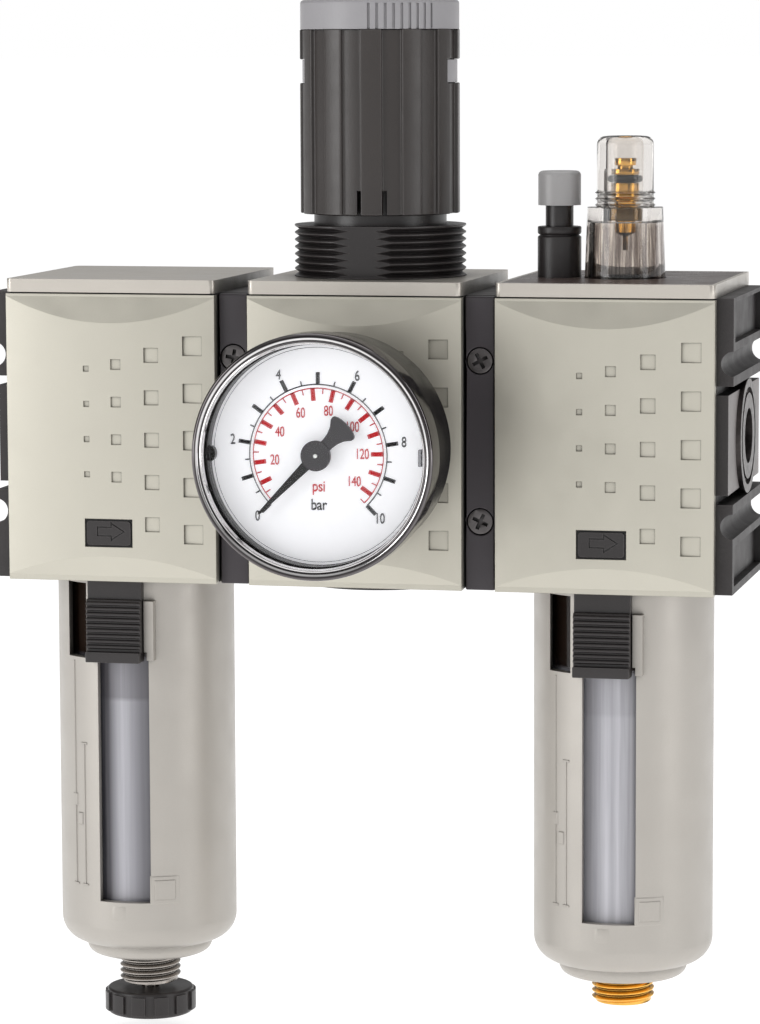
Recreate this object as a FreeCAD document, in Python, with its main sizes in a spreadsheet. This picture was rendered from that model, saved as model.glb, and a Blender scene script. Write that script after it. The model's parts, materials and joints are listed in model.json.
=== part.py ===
import FreeCAD, Part
import math
import os
import Sketcher
from FreeCAD import Vector, Rotation, Placement

# Filter regulator lubricator: three air-preparation modules in a row, clamped together.
# Frame: origin at the centre of the inlet port's face, +X with the air flow, -Y towards
# the gauge, +Z up. Millimetres.

doc = FreeCAD.newDocument("FilterRegulatorLubricator")
sheet = doc.addObject("Spreadsheet::Sheet", "Sheet")

SIZES = {
    # modules: three equal blocks, side by side with a gap that the coupling strips fill
    "module_width": 45.0,
    "module_gap": 7.0,
    "module_depth": 50.0,
    "module_top": 32.5,
    "plate_thickness": 2.75,
    "plate_corner": 1.2,
    "cover_base": -30.6,
    "cover_edge": 2.3,
    "cover_bulge": 1.2,
    "cover_gap": 0.3,
    "cover_slope_top": 23.5,
    "cover_slope_low": -25.2,
    "cover_slope_edge": 1.1,
    "body_base": -30.4,
    "core_inset": 0.2,
    "working_gap": 0.1,
    # side blocks of each body, measured up from the port axis
    "side_step_low": 12.0,
    "side_pad_half": 10.15,
    "side_pad_setback": 1.0,
    "side_base_proud": 0.3,
    "side_pocket_low": 20.7,
    "side_pocket_high": 28.9,
    "side_pocket_half": 20.6,
    "side_pocket_deep": 1.6,
    # cover decoration: four columns of squares that grow towards the outlet side
    "square_deep": 0.35,
    "square_row_centre": -0.7,
    "arrow_x": -0.35,
    "arrow_z": -20.3,
    "arrow_wide": 10.2,
    "arrow_high": 5.8,
    "arrow_deep": 0.9,
    # coupling between modules
    "clamp_z": 16.5,
    "channel_radius": 2.55,
    "sleeve_radius": 2.45,
    "strip_front": 23.0,
    "strip_thickness": 2.6,
    "strip_chamfer": 0.3,
    "strip_side_gap": 0.45,
    "screw_radius": 1.5,
    "screw_head_radius": 2.55,
    "screw_head_high": 1.7,
    "screw_seat_radius": 2.8,
    "screw_seat_deep": 1.9,
    "screw_reach": 16.0,
    "screw_slot_long": 3.4,
    "screw_slot_wide": 0.75,
    "screw_slot_deep": 1.0,
    "thread_clearance": 0.03,
    # ports, G1/4
    "port_minor": 5.72,
    "port_thread_long": 13.0,
    "port_flange_radius": 11.85,
    "port_flange_thick": 2.6,
    "port_shank_radius": 8.4,
    "port_groove_in": 8.9,
    "port_groove_out": 10.1,
    "port_groove_deep": 0.8,
    "passage_radius": 4.2,
    "seal_hole_radius": 6.2,
    "seal_outer_radius": 9.6,
    # bowls and their guards
    "socket_radius": 17.5,
    "socket_top": -19.0,
    "neck_bore": 15.1,
    "neck_bore_top": -13.0,
    "bayonet_radius": 18.9,
    "bayonet_low": -28.2,
    "bayonet_high": -23.8,
    "bayonet_entry": 11.0,
    "lug_radius": 18.65,
    "lug_low": -27.4,
    "lug_high": -24.4,
    "lug_wide": 8.0,
    "guard_radius": 18.85,
    "guard_inner": 17.0,
    "guard_top": -31.0,
    "guard_neck_radius": 17.3,
    "guard_neck_inner": 16.5,
    "guard_neck_top": -20.4,
    "guard_shoulder": -111.3,
    "guard_round": 5.3,
    "guard_step_radius": 13.5,
    "guard_base": -114.3,
    "guard_step_round": 2.2,
    "guard_floor": 2.0,
    "guard_hole": 6.9,
    "window_wide": 11.2,
    "window_low": -100.3,
    "window_high": -46.3,
    "key_way_high": -35.6,
    "side_slot_low": -48.2,
    "side_slot_high": -32.2,
    "side_slot_left": -13.2,
    "side_slot_right": -8.3,
    "rail_left": 5.0,
    "rail_right": 7.1,
    "rail_low": -48.0,
    "rail_high": -35.4,
    "rail_proud": 0.55,
    "bowl_radius": 16.3,
    "bowl_wall": 2.0,
    "bowl_shoulder": -21.0,
    "bowl_neck_radius": 14.85,
    "bowl_neck_wall": 1.7,
    "bowl_neck_top": -13.6,
    "bowl_base": -108.8,
    "bowl_round": 4.6,
    "bowl_hole": 5.1,
    "oring_wire": 0.95,
    "oring_centre": 15.9,
    "oring_z": -16.3,
    "oring_groove_radius": 16.9,
    "oring_groove_half": 1.1,
    # lock slides on the guards
    "slide_centre": -1.1,
    "slide_wide": 11.8,
    "slide_clearance": 0.12,
    "slide_top": -31.0,
    "slide_plain_low": -35.0,
    "slide_rib_low": -46.1,
    "slide_low": -48.3,
    "slide_plain_y": 20.3,
    "slide_face_y": 21.2,
    "slide_lip_y": 22.3,
    "slide_rib_pitch": 1.15,
    "slide_rib_high": 0.62,
    "slide_rib_proud": 0.5,
    "slide_key_wide": 8.0,
    "slide_key_high": 6.0,
    "slide_root_inset": 1.6,
    # inside the filter's body and bowl
    "filter_drop_x": -10.5,
    "filter_drop_high": 13.0,
    "element_radius": 9.4,
    "element_bore": 6.2,
    "element_top": -21.0,
    "element_low": -52.0,
    "vane_radius": 12.6,
    "vane_thick": 3.2,
    "vane_hub_wall": 1.6,
    "vane_gap_wide": 1.8,
    "baffle_radius": 12.4,
    "baffle_thick": 3.4,
    "baffle_slope": 3.0,
    "baffle_lip": 1.2,
    "baffle_skin": 1.4,
    "baffle_window_half": 1.5,
    "stud_radius": 4.15,
    "stud_bore": 3.0,
    "stud_top": -17.0,
    "stud_low": -58.5,
    # drain and fill fittings, G1/4 outside
    "fitting_major": 6.58,
    "fitting_minor": 5.75,
    "fitting_relief": 6.0,
    "fitting_pitch": 1.337,
    "fitting_crest": 0.22,
    "fitting_low": -121.0,
    "fitting_thread_top": -114.4,
    "fitting_flange_radius": 8.4,
    "fitting_flange_thick": 1.5,
    "fitting_shank": 5.0,
    "drain_bore": 2.0,
    "drain_stem_radius": 1.9,
    "drain_stem_top": -106.0,
    "drain_knob_radius": 9.3,
    "drain_knob_rim": 9.85,
    "drain_knob_top": -122.3,
    "drain_knob_low": -127.9,
    "drain_rib_wide": 3.1,
    "drain_rib_high": 4.0,
    "fill_fitting_low": -120.3,
    "fill_bore": 2.4,
    # regulator: bonnet, knob and spring
    "panel_major": 18.0,
    "panel_minor": 17.08,
    "panel_relief": 17.4,
    "panel_pitch": 1.5,
    "panel_crest": 0.22,
    "panel_top": 43.3,
    "panel_flat": 16.9,
    "panel_flat_lift": 0.4,
    "bonnet_flange_radius": 20.4,
    "bonnet_flange_low": 25.4,
    "bonnet_neck_radius": 13.9,
    "bonnet_neck_top": 45.4,
    "bonnet_tube_radius": 13.1,
    "bonnet_bore": 11.6,
    "bonnet_cavity": 15.4,
    "bonnet_cavity_top": 41.0,
    "bonnet_wall_low": 76.0,
    "bonnet_top": 79.0,
    "key_wide": 4.0,
    "key_radius": 12.3,
    "knob_low": 45.6,
    "knob_top": 83.8,
    "knob_valley": 15.9,
    "knob_rim": 16.7,
    "knob_inner": 14.4,
    "knob_rib_wide": 4.35,
    "knob_turn": 6.6,
    "knob_window_low": 72.7,
    "knob_window_high": 77.6,
    "knob_window_half": 7.3,
    "knob_finger_slot": 0.9,
    "knob_finger_high": 50.6,
    "knob_finger_back": -10.0,
    "cap_top": 89.9,
    "cap_radius": 16.6,
    "cap_round": 0.8,
    "cap_line_deep": 0.35,
    "cap_line_half": 0.28,
    "cap_skirt_out": 14.2,
    "cap_skirt_in": 13.4,
    "cap_skirt_low": 70.5,
    "cap_tab_radius": 16.2,
    "cap_hollow": 12.0,
    "cap_wall": 2.0,
    "cap_boss_radius": 6.6,
    "cap_boss_low": 81.6,
    "drive_across": 8.0,
    "drive_clearance": 0.1,
    "drive_top": 86.2,
    "screw_neck_radius": 4.1,
    "screw_neck_bore": 4.2,
    "screw_collar_radius": 7.0,
    "screw_collar_low": 73.8,
    "adjust_major": 4.0,
    "adjust_low": 57.0,
    "nut_radius": 11.4,
    "nut_key_radius": 12.1,
    "nut_key_wide": 3.6,
    "nut_top": 73.4,
    "nut_low": 67.4,
    "nut_bore": 4.08,
    "nut_spigot": 7.6,
    "nut_spigot_low": 65.2,
    "main_spring_wire": 1.2,
    "main_spring_radius": 9.4,
    "main_spring_pitch": 5.6,
    "diaphragm_radius": 20.3,
    "diaphragm_low": 24.2,
    "diaphragm_thick": 1.2,
    "diaphragm_hole": 2.3,
    "disc_radius": 12.4,
    "disc_top": 28.0,
    "disc_boss_radius": 7.6,
    "disc_boss_top": 31.0,
    # regulator valve
    "diaphragm_cavity": 16.5,
    "diaphragm_cavity_low": 21.4,
    "valve_chamber": 9.0,
    "valve_seat_radius": 4.4,
    "valve_seat_high": 1.4,
    "valve_seat_low": -1.8,
    "upper_chamber_top": 15.0,
    "poppet_radius": 6.2,
    "poppet_high": -1.85,
    "poppet_low": -6.0,
    "valve_stem_radius": 2.0,
    "valve_guide_radius": 2.1,
    "valve_tail_low": -21.0,
    "valve_spring_wire": 0.45,
    "valve_spring_radius": 4.2,
    "valve_spring_pitch": 2.3,
    "plug_radius": 17.0,
    "plug_low": -32.1,
    "plug_flange_top": -28.0,
    "plug_shank_radius": 14.0,
    "plug_top": -17.0,
    "plug_cup": 6.0,
    "plug_cup_low": -18.5,
    # air ways inside the regulator's body
    "way_step": 2.2,
    "way_in_long": 12.0,
    "way_in_inset": 4.5,
    "way_out_long": 17.5,
    "way_out_inset": 3.5,
    "sense_radius": 1.0,
    "sense_x": 6.0,
    "gauge_way_long": 10.0,
    "gauge_lift_radius": 1.5,
    "gauge_lift_inset": 2.5,
    "gauge_duct_radius": 1.4,
    "gauge_duct_long": 9.5,
    # gauge, on the regulator's front
    "gauge_case_radius": 23.2,
    "gauge_case_back": 37.0,
    "gauge_case_front": 58.4,
    "gauge_case_wall": 1.2,
    "gauge_case_hole": 4.5,
    "bezel_radius": 24.5,
    "bezel_back": 54.6,
    "bezel_front": 61.4,
    "bezel_inner": 22.3,
    "lens_radius": 23.0,
    "lens_front": 60.1,
    "lens_back": 58.5,
    "dial_radius": 21.9,
    "dial_front": 55.4,
    "dial_thick": 0.5,
    "pointer_front": 57.4,
    "pointer_thick": 0.5,
    "pointer_hub": 3.3,
    "pointer_tip": 16.0,
    "pointer_root_half": 1.15,
    "pointer_tip_half": 0.28,
    "pointer_tail": 8.6,
    "pointer_tail_half": 3.4,
    "pointer_tail_corner": 1.2,
    "pointer_arbor": 0.8,
    "gauge_stem_across": 14.0,
    "gauge_stem_thread": 4.86,
    "gauge_stem_deep": 16.6,
    "gauge_stem_bore": 1.5,
    "gauge_spigot_radius": 4.3,
    "pointer_arbor_deep": 6.0,
    "gauge_collar_front": 29.5,
    "gauge_hole": 8.4,
    "gauge_port": 4.9,
    "gauge_block_half": 5.0,
    "gauge_block_front": 50.5,
    "tube_centre": 15.5,
    "tube_wire": 2.4,
    "tube_y": 46.0,
    # lubricator: sight dome, metering screw, fill button
    "dome_flange_radius": 9.0,
    "dome_flange_low": 27.5,
    "dome_seal_centre": 7.75,
    "dome_seal_wire": 0.7,
    "sight_floor": 20.0,
    "dome_base_radius": 8.4,
    "dome_waist_radius": 7.85,
    "dome_waist_z": 47.1,
    "dome_neck_radius": 5.9,
    "dome_top": 61.7,
    "dome_round": 1.8,
    "dome_cavity": 6.5,
    "dome_cavity_top": 44.0,
    "dome_bore": 3.75,
    "dome_ring_proud": 0.45,
    "dome_ring_pitch": 1.25,
    "dome_ring_low": 47.5,
    "dome_ring_half": 0.45,
    "drip_collar_radius": 3.7,
    "drip_collar_top": 46.8,
    "drip_collar_low": 44.3,
    "drip_neck_radius": 2.1,
    "drip_neck_low": 41.7,
    "drip_tip_radius": 0.55,
    "drip_tip_low": 38.0,
    "meter_low": 47.2,
    "meter_top": 57.1,
    "meter_radius": 2.2,
    "meter_groove_radius": 1.6,
    "meter_body_radius": 2.9,
    "meter_slot": 0.7,
    "meter_slot_deep": 0.9,
    "meter_head_high": 1.4,
    "meter_head_low": 2.2,
    "meter_seal_z": 52.9,
    "meter_seal_wire": 0.75,
    "meter_seal_centre": 2.95,
    "drip_hole_radius": 1.2,
    "drip_hole_x": 3.5,
    "drip_hole_low": 3.0,
    "bleed_radius": 1.4,
    "bleed_x": -11.4,
    "bleed_long": 9.0,
    "button_x": -13.8,
    "button_way_radius": 1.8,
    "button_way_low": 8.0,
    "button_base_radius": 4.55,
    "button_base_low": 25.0,
    "button_base_step": 41.5,
    "button_base_top": 43.0,
    "button_groove_deep": 0.6,
    "button_cap_radius": 4.45,
    "button_cap_low": 47.4,
    "button_cap_top": 54.5,
    "button_cap_round": 1.0,
    "button_stem_radius": 2.9,
    "button_stem_bore": 3.0,
    "button_stem_low": 36.5,
    "button_cavity": 3.8,
    "button_cavity_low": 27.0,
    "button_rod_radius": 1.3,
    "button_rod_low": 22.0,
    "button_rod_bore": 1.5,
    "button_spring_wire": 0.3,
    "button_spring_radius": 2.35,
    "button_spring_pitch": 1.5,
    "inlay_thick": 0.9,
    "inlay_side": 1.0,
    "inlay_front": 2.2,
    # inside the lubricator bowl
    "siphon_radius": 2.25,
    "siphon_bore": 1.4,
    "siphon_top": -8.0,
    "siphon_low": -96.7,
    "siphon_filter_radius": 2.6,
    "siphon_filter_low": -104.6,
}

for line, (alias, number) in enumerate(SIZES.items(), start=1):
    sheet.set(f"A{line}", alias)
    sheet.set(f"B{line}", str(number))
    sheet.setAlias(f"B{line}", alias)
doc.recompute()


class Size:
    """A length with its number now and the formula that binds it to the sheet."""

    def __init__(self, number, formula):
        self.number = number
        self.formula = formula

    def __add__(self, other):
        other = as_size(other)
        return Size(self.number + other.number, f"({self.formula} + {other.formula})")

    def __sub__(self, other):
        other = as_size(other)
        return Size(self.number - other.number, f"({self.formula} - {other.formula})")

    def __mul__(self, other):
        other = as_size(other)
        return Size(self.number * other.number, f"({self.formula} * {other.formula})")

    def __truediv__(self, other):
        other = as_size(other)
        return Size(self.number / other.number, f"({self.formula} / {other.formula})")

    def __neg__(self):
        return Size(-self.number, f"(0 - {self.formula})")

    def __radd__(self, other):
        return as_size(other) + self

    def __rsub__(self, other):
        return as_size(other) - self

    def __rmul__(self, other):
        return as_size(other) * self


def as_size(value):
    """A plain number counts as a size with a constant formula."""
    if isinstance(value, Size):
        return value
    return Size(float(value), f"({float(value)})")


class Sheet:
    """Gives every alias of the sheet as an attribute."""

    def __getattr__(self, alias):
        return Size(SIZES[alias], f"Sheet.{alias}")


s = Sheet()


def bind(thing, prop, size):
    """Keep one property equal to a formula of the sheet."""
    thing.setExpression(prop, as_size(size).formula)


def place(thing, x=0, y=0, z=0, turn=None):
    """Put a thing at a bound place, turned by a fixed rotation."""
    if turn is not None:
        thing.Placement = Placement(Vector(0, 0, 0), turn)
    bind(thing, "Placement.Base.x", x)
    bind(thing, "Placement.Base.y", y)
    bind(thing, "Placement.Base.z", z)
    return thing


def named(thing, label):
    thing.Label = label
    return thing


# ---------- solids bound to the sheet ----------
# A cutting tool runs 1 mm or more past each face that it opens.

ALONG_X = Rotation(Vector(0, 1, 0), 90)
ALONG_MINUS_Y = Rotation(Vector(1, 0, 0), 90)
UPRIGHT = Rotation()


def box(name, low, high):
    """A block between two bound corners."""
    block = doc.addObject("Part::Box", name)
    for prop, a, b in zip(("Length", "Width", "Height"), low, high):
        bind(block, prop, as_size(b) - a)
    return place(block, *low)


def cylinder(name, radius, start, length, turn=UPRIGHT):
    """A round bar from a bound start point; upright, or along +X or -Y."""
    bar = doc.addObject("Part::Cylinder", name)
    bind(bar, "Radius", radius)
    bind(bar, "Height", length)
    return place(bar, *start, turn=turn)


def hexagon(name, across, low, length, turn=UPRIGHT):
    """A six-sided bar, sized across its flats."""
    bar = doc.addObject("Part::Prism", name)
    bar.Polygon = 6
    bind(bar, "Circumradius", as_size(across) / math.sqrt(3))
    bind(bar, "Height", length)
    return place(bar, *low, turn=turn)


def ring(name, centre_radius, wire, at):
    """A rubber ring lying flat."""
    torus = doc.addObject("Part::Torus", name)
    bind(torus, "Radius1", centre_radius)
    bind(torus, "Radius2", wire)
    return place(torus, *at)


def fuse(name, things):
    union = doc.addObject("Part::MultiFuse", name)
    union.Shapes = things
    return union


def cut(name, base, tools):
    """Take every tool away from the base."""
    left = doc.addObject("Part::Cut", name)
    left.Base = base
    left.Tool = tools[0] if len(tools) == 1 else fuse(name + "_tools", tools)
    return left


def together(name, things):
    """Several separate solids kept as one sub-part."""
    group = doc.addObject("Part::Compound", name)
    group.Links = things
    return group


def origin_plane(body, role):
    return next(f for f in body.Origin.OriginFeatures if f.Role == role)


def corners_and_arcs(points):
    """Turn corner points into line and arc ends; a third value rounds a square corner."""
    ends = []
    for i, point in enumerate(points):
        u, v = as_size(point[0]), as_size(point[1])
        if len(point) == 2:
            ends.append(((u, v), None))
            continue
        radius = as_size(point[2])
        before, after = points[i - 1], points[(i + 1) % len(points)]
        pair = []
        for other in (before, after):
            du = as_size(other[0]).number - u.number
            dv = as_size(other[1]).number - v.number
            along_u = abs(du) > abs(dv)
            sign = 1 if (du if along_u else dv) > 0 else -1
            pair.append((u + sign * radius, v) if along_u else (u, v + sign * radius))
        ends.append((pair[0], radius))
        ends.append((pair[1], None))
    return ends


def draw_outline(sketch, points):
    """Draw a closed outline whose every corner is bound to the sheet."""
    ends = corners_and_arcs(points)
    first = len(sketch.Geometry)
    flips = []
    for i, (start, radius) in enumerate(ends):
        finish = ends[(i + 1) % len(ends)][0]
        a = Vector(start[0].number, start[1].number, 0)
        b = Vector(finish[0].number, finish[1].number, 0)
        if radius is None:
            sketch.addGeometry(Part.LineSegment(a, b), False)
            flips.append(False)
            continue
        before = ends[i - 1][0]
        level = abs(before[1].number - a.y) < 1e-9
        centre = Vector(a.x, b.y, 0) if level else Vector(b.x, a.y, 0)
        turning = (a - centre).cross(b - centre).z
        low, high = (a, b) if turning > 0 else (b, a)
        circle = Part.Circle(centre, Vector(0, 0, 1), radius.number)
        arc = Part.ArcOfCircle(circle, circle.parameter(low), circle.parameter(high))
        sketch.addGeometry(arc, False)
        flips.append(turning < 0)
    for i, (start, radius) in enumerate(ends):
        last = (i - 1) % len(ends)
        start_end = 2 if flips[i] else 1
        finish_end = 1 if flips[last] else 2
        here, there = first + i, first + last
        sketch.addConstraint(Sketcher.Constraint("Coincident", there, finish_end, here, start_end))
        for kind, size in (("DistanceX", start[0]), ("DistanceY", start[1])):
            if abs(size.number) < 1e-9:
                axis = -2 if kind == "DistanceX" else -1
                sketch.addConstraint(Sketcher.Constraint("PointOnObject", here, start_end, axis))
                continue
            fixed = Sketcher.Constraint(kind, -1, 1, here, start_end, size.number)
            index = sketch.addConstraint(fixed)
            sketch.setExpression(f"Constraints[{index}]", size.formula)
        if radius is not None:
            index = sketch.addConstraint(Sketcher.Constraint("Radius", here, radius.number))
            sketch.setExpression(f"Constraints[{index}]", radius.formula)


def sketch_in(body, role, points, name="Outline"):
    sketch = body.newObject("Sketcher::SketchObject", f"{body.Name}_{name}")
    sketch.AttachmentSupport = [(origin_plane(body, role), "")]
    sketch.MapMode = "FlatFace"
    draw_outline(sketch, points)
    return sketch


def revolved(name, points):
    """A turned piece: its half section (radius, height) swept round the Z axis."""
    body = doc.addObject("PartDesign::Body", name)
    sketch = sketch_in(body, "XZ_Plane", points)
    turned = body.newObject("PartDesign::Revolution", f"{name}_Revolution")
    turned.Profile = sketch
    turned.ReferenceAxis = (sketch, ["V_Axis"])
    turned.Angle = 360.0
    body.Tip = turned
    return body


def prism(name, role, points, low, high):
    """A straight piece: an outline on one origin plane, filled from low to high."""
    body = doc.addObject("PartDesign::Body", name)
    sketch = sketch_in(body, role, points)
    pad = body.newObject("PartDesign::Pad", f"{name}_Pad")
    pad.Profile = sketch
    bind(pad, "Length", as_size(high) - low)
    body.Tip = pad
    if role == "XY_Plane":
        return place(body, z=low)
    if role == "YZ_Plane":
        return place(body, x=low)
    return place(body, y=high)


def grooved(body, major, minor, crest, pitch, low, count):
    """Cut a row of V grooves round a turned piece, one for each thread."""
    half = (pitch - crest) / 2
    reach = major + 0.5
    flare = half * (reach.number - minor.number) / (major.number - minor.number)
    middle = low + pitch / 2
    points = [(minor, middle), (reach, middle - flare), (reach, middle + flare)]
    sketch = sketch_in(body, "XZ_Plane", points, "Thread")
    groove = body.newObject("PartDesign::Groove", f"{body.Name}_Groove")
    groove.Profile = sketch
    groove.ReferenceAxis = (sketch, ["V_Axis"])
    groove.Angle = 360.0
    pattern = body.newObject("PartDesign::LinearPattern", f"{body.Name}_Threads")
    pattern.Originals = [groove]
    pattern.Direction = (origin_plane(body, "Z_Axis"), [""])
    pattern.Occurrences = count
    bind(pattern, "Length", pitch * (count - 1))
    body.Tip = pattern
    return body


def around(name, thing, count, first=0.0, span=360.0):
    """Copies of a thing round the Z axis, joined as one tool or rim."""
    copies = []
    for i in range(count):
        copy = doc.addObject("Part::Compound", f"{name}_{i}")
        copy.Links = [thing]
        copy.Placement = Placement(Vector(), Rotation(Vector(0, 0, 1), first + span * i / count))
        copies.append(copy)
    return copies


def coil(name, radius, wire, pitch, low, high):
    """A compression spring: a round wire swept along a helix."""
    spine = doc.addObject("Part::Helix", name + "_spine")
    bind(spine, "Radius", radius)
    bind(spine, "Pitch", pitch)
    bind(spine, "Height", as_size(high) - low - 2 * as_size(wire))
    section = doc.addObject("Part::Circle", name + "_section")
    bind(section, "Radius", wire)
    section.Placement = Placement(Vector(0, 0, 0), ALONG_MINUS_Y)
    bind(section, "Placement.Base.x", radius)
    spring = doc.addObject("Part::Sweep", name)
    spring.Sections = [section]
    spring.Spine = (spine, ["Edge1"])
    spring.Solid = True
    spring.Frenet = True
    return place(spring, z=as_size(low) + wire)


# ---------- places ----------

half_width = s.module_width / 2
half_depth = s.module_depth / 2
step = s.module_width + s.module_gap
reach = step / 2
plate_low = s.module_top - s.plate_thickness
core_half = half_width - s.core_inset
body_front = half_depth - s.cover_edge
filter_x = reach
regulator_x = step + reach
lubricator_x = 2 * step + reach
PLUS, MINUS = 1, -1


# ---------- module shells ----------

def side_outline():
    """The front view of a body: core, and on each side the blocks that meet a neighbour."""
    base = core_half + s.side_base_proud
    right = [
        (reach, plate_low),
        (reach, s.side_step_low),
        (base, s.side_step_low),
        (base, s.side_pad_half),
        (reach - s.side_pad_setback, s.side_pad_half),
        (reach - s.side_pad_setback, -s.side_pad_half),
        (base, -s.side_pad_half),
        (base, -s.side_step_low),
        (reach, -s.side_step_low),
        (reach, s.body_base),
    ]
    left = [(-x, z) for x, z in reversed(right)]
    return right + left


def channels(name):
    """Round channels for the clamp sleeves, half in each body."""
    return [
        cylinder(f"{name}_channel_{side}_{level}", s.channel_radius,
                 (side * reach, body_front + 1, level * s.clamp_z), 2 * body_front + 2, ALONG_MINUS_Y)
        for side in (PLUS, MINUS)
        for level in (PLUS, MINUS)
    ]


def side_pockets(name):
    """Shallow pockets that lighten the outer faces of the upper and lower side blocks."""
    pockets = []
    for side in (PLUS, MINUS):
        outer, inner = side * (reach + 1), side * (reach - s.side_pocket_deep)
        low_x, high_x = (inner, outer) if side > 0 else (outer, inner)
        for level in (PLUS, MINUS):
            low_z, high_z = level * s.side_pocket_low, level * s.side_pocket_high
            if level < 0:
                low_z, high_z = high_z, low_z
            pockets.append(box(f"{name}_pocket_{side}_{level}",
                               (low_x, -s.side_pocket_half, low_z),
                               (high_x, s.side_pocket_half, high_z)))
    return pockets


def strip_rebates(name, joined_sides):
    """Steps at front and rear where a neighbour is clamped on, so that a strip can lie there."""
    rebates = []
    back = s.strip_front - s.strip_thickness - s.working_gap
    for side in joined_sides:
        near, far = side * (core_half + s.side_base_proud), side * (reach + 1)
        low_x, high_x = (near, far) if side > 0 else (far, near)
        for face in (PLUS, MINUS):
            low_y, high_y = face * back, face * (body_front + 1)
            if face < 0:
                low_y, high_y = high_y, low_y
            rebates.append(box(f"{name}_rebate_{side}_{face}",
                               (low_x, low_y, s.body_base - 1), (high_x, high_y, plate_low + 1)))
    return rebates


def port_bores(name, end_sides, joined_sides):
    """The air way's two mouths: a stepped hole for a port bush, or a plain hole to a neighbour."""
    bores = []
    for side in end_sides:
        face = reach - s.port_flange_thick
        start = side * reach if side < 0 else face
        bores.append(cylinder(f"{name}_flange_seat", s.port_flange_radius + s.working_gap / 2,
                              (start, 0, 0), s.port_flange_thick, ALONG_X))
        start = side * reach if side < 0 else reach - s.port_thread_long
        bores.append(cylinder(f"{name}_shank_seat", s.port_shank_radius + s.working_gap / 2,
                              (start, 0, 0), s.port_thread_long, ALONG_X))
    for side in joined_sides:
        start = side * reach if side < 0 else reach - s.port_thread_long
        bores.append(cylinder(f"{name}_link_{side}", s.port_minor,
                              (start, 0, 0), s.port_thread_long, ALONG_X))
    return bores


def bowl_socket(name):
    """Bore, seal groove and bayonet track that receive a bowl and its guard from below."""
    bore = revolved(name + "_socket", [
        (0, s.body_base - 1),
        (s.socket_radius, s.body_base - 1),
        (s.socket_radius, s.bayonet_low),
        (s.bayonet_radius, s.bayonet_low),
        (s.bayonet_radius, s.bayonet_high),
        (s.socket_radius, s.bayonet_high),
        (s.socket_radius, s.socket_top),
        (s.neck_bore, s.socket_top),
        (s.neck_bore, s.oring_z - s.oring_groove_half),
        (s.oring_groove_radius, s.oring_z - s.oring_groove_half),
        (s.oring_groove_radius, s.oring_z + s.oring_groove_half),
        (s.neck_bore, s.oring_z + s.oring_groove_half),
        (s.neck_bore, s.neck_bore_top),
        (0, s.neck_bore_top),
    ])
    entry = doc.addObject("Part::Common", name + "_entry")
    half = s.bayonet_entry / 2
    entry.Base = box(name + "_entry_block", (0, -half, s.body_base - 1),
                     (s.bayonet_radius + 1, half, s.bayonet_low + 1))
    entry.Tool = cylinder(name + "_entry_round", s.bayonet_radius, (0, 0, s.body_base - 2), 10)
    return [bore] + around(name + "_entries", entry, 3, first=LUG_FIRST + BOWL_TURN)


LUG_FIRST = 90.0
BOWL_TURN = 30.0


def module_body(name, x, end_sides, joined_sides, inside):
    """One die-cast body with everything that all three share; inside holds its own cavities."""
    block = prism(name + "_block", "XZ_Plane", side_outline(), -body_front, body_front)
    tools = channels(name) + side_pockets(name) + strip_rebates(name, joined_sides)
    tools += port_bores(name, end_sides, joined_sides)
    return place(named(cut(name, block, tools + inside), name), x=x)


def cover_shell(name):
    """A cover whose face swells in the middle, with sloping cuts along its top and bottom."""
    low, high = s.cover_base, plate_low - s.cover_gap
    back, edge, crown = -body_front, -half_depth, -half_depth - s.cover_bulge
    body = doc.addObject("PartDesign::Body", name)
    sketch = body.newObject("Sketcher::SketchObject", name + "_Outline")
    sketch.AttachmentSupport = [(origin_plane(body, "XY_Plane"), "")]
    sketch.MapMode = "FlatFace"
    corners = [(-half_width, edge), (-half_width, back), (half_width, back), (half_width, edge)]
    points = [Vector(u.number, v.number, 0) for u, v in corners]
    for a, b in zip(points, points[1:]):
        sketch.addGeometry(Part.LineSegment(a, b), False)
    face = Part.Arc(points[0], Vector(0, crown.number, 0), points[3])
    arc = sketch.addGeometry(face, False)
    for i in (0, 1):
        sketch.addConstraint(Sketcher.Constraint("Coincident", i, 2, i + 1, 1))
    arc_is_forward = (sketch.getPoint(arc, 1) - points[0]).Length < 0.01
    left, right = (1, 2) if arc_is_forward else (2, 1)
    sketch.addConstraint(Sketcher.Constraint("Coincident", 0, 1, arc, left))
    sketch.addConstraint(Sketcher.Constraint("Coincident", 2, 2, arc, right))
    for (line, end), (u, v) in zip(((0, 1), (1, 1), (2, 1), (2, 2)), corners):
        for kind, size in (("DistanceX", u), ("DistanceY", v)):
            index = sketch.addConstraint(Sketcher.Constraint(kind, -1, 1, line, end, size.number))
            sketch.setExpression(f"Constraints[{index}]", size.formula)
    radius = (half_width * half_width + s.cover_bulge * s.cover_bulge) / (2 * s.cover_bulge)
    index = sketch.addConstraint(Sketcher.Constraint("Radius", arc, radius.number))
    sketch.setExpression(f"Constraints[{index}]", radius.formula)
    pad = body.newObject("PartDesign::Pad", name + "_Pad")
    pad.Profile = sketch
    bind(pad, "Length", high - low)
    body.Tip = pad
    place(body, z=low)
    slopes = []
    for where, edge_z, inner_z, outer_z in (
        ("top", high - s.cover_slope_edge / 2, s.cover_slope_top, high + 1),
        ("low", low + s.cover_slope_edge, s.cover_slope_low, low - 1),
    ):
        rise = (edge_z - inner_z) / s.cover_bulge
        beyond = 1.0
        slopes.append(prism(f"{name}_slope_{where}", "YZ_Plane", [
            (edge, edge_z),
            (crown - beyond, inner_z - rise * beyond),
            (crown - beyond, outer_z),
            (edge, outer_z),
        ], -half_width - 1, half_width + 1))
    return body, slopes


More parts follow.
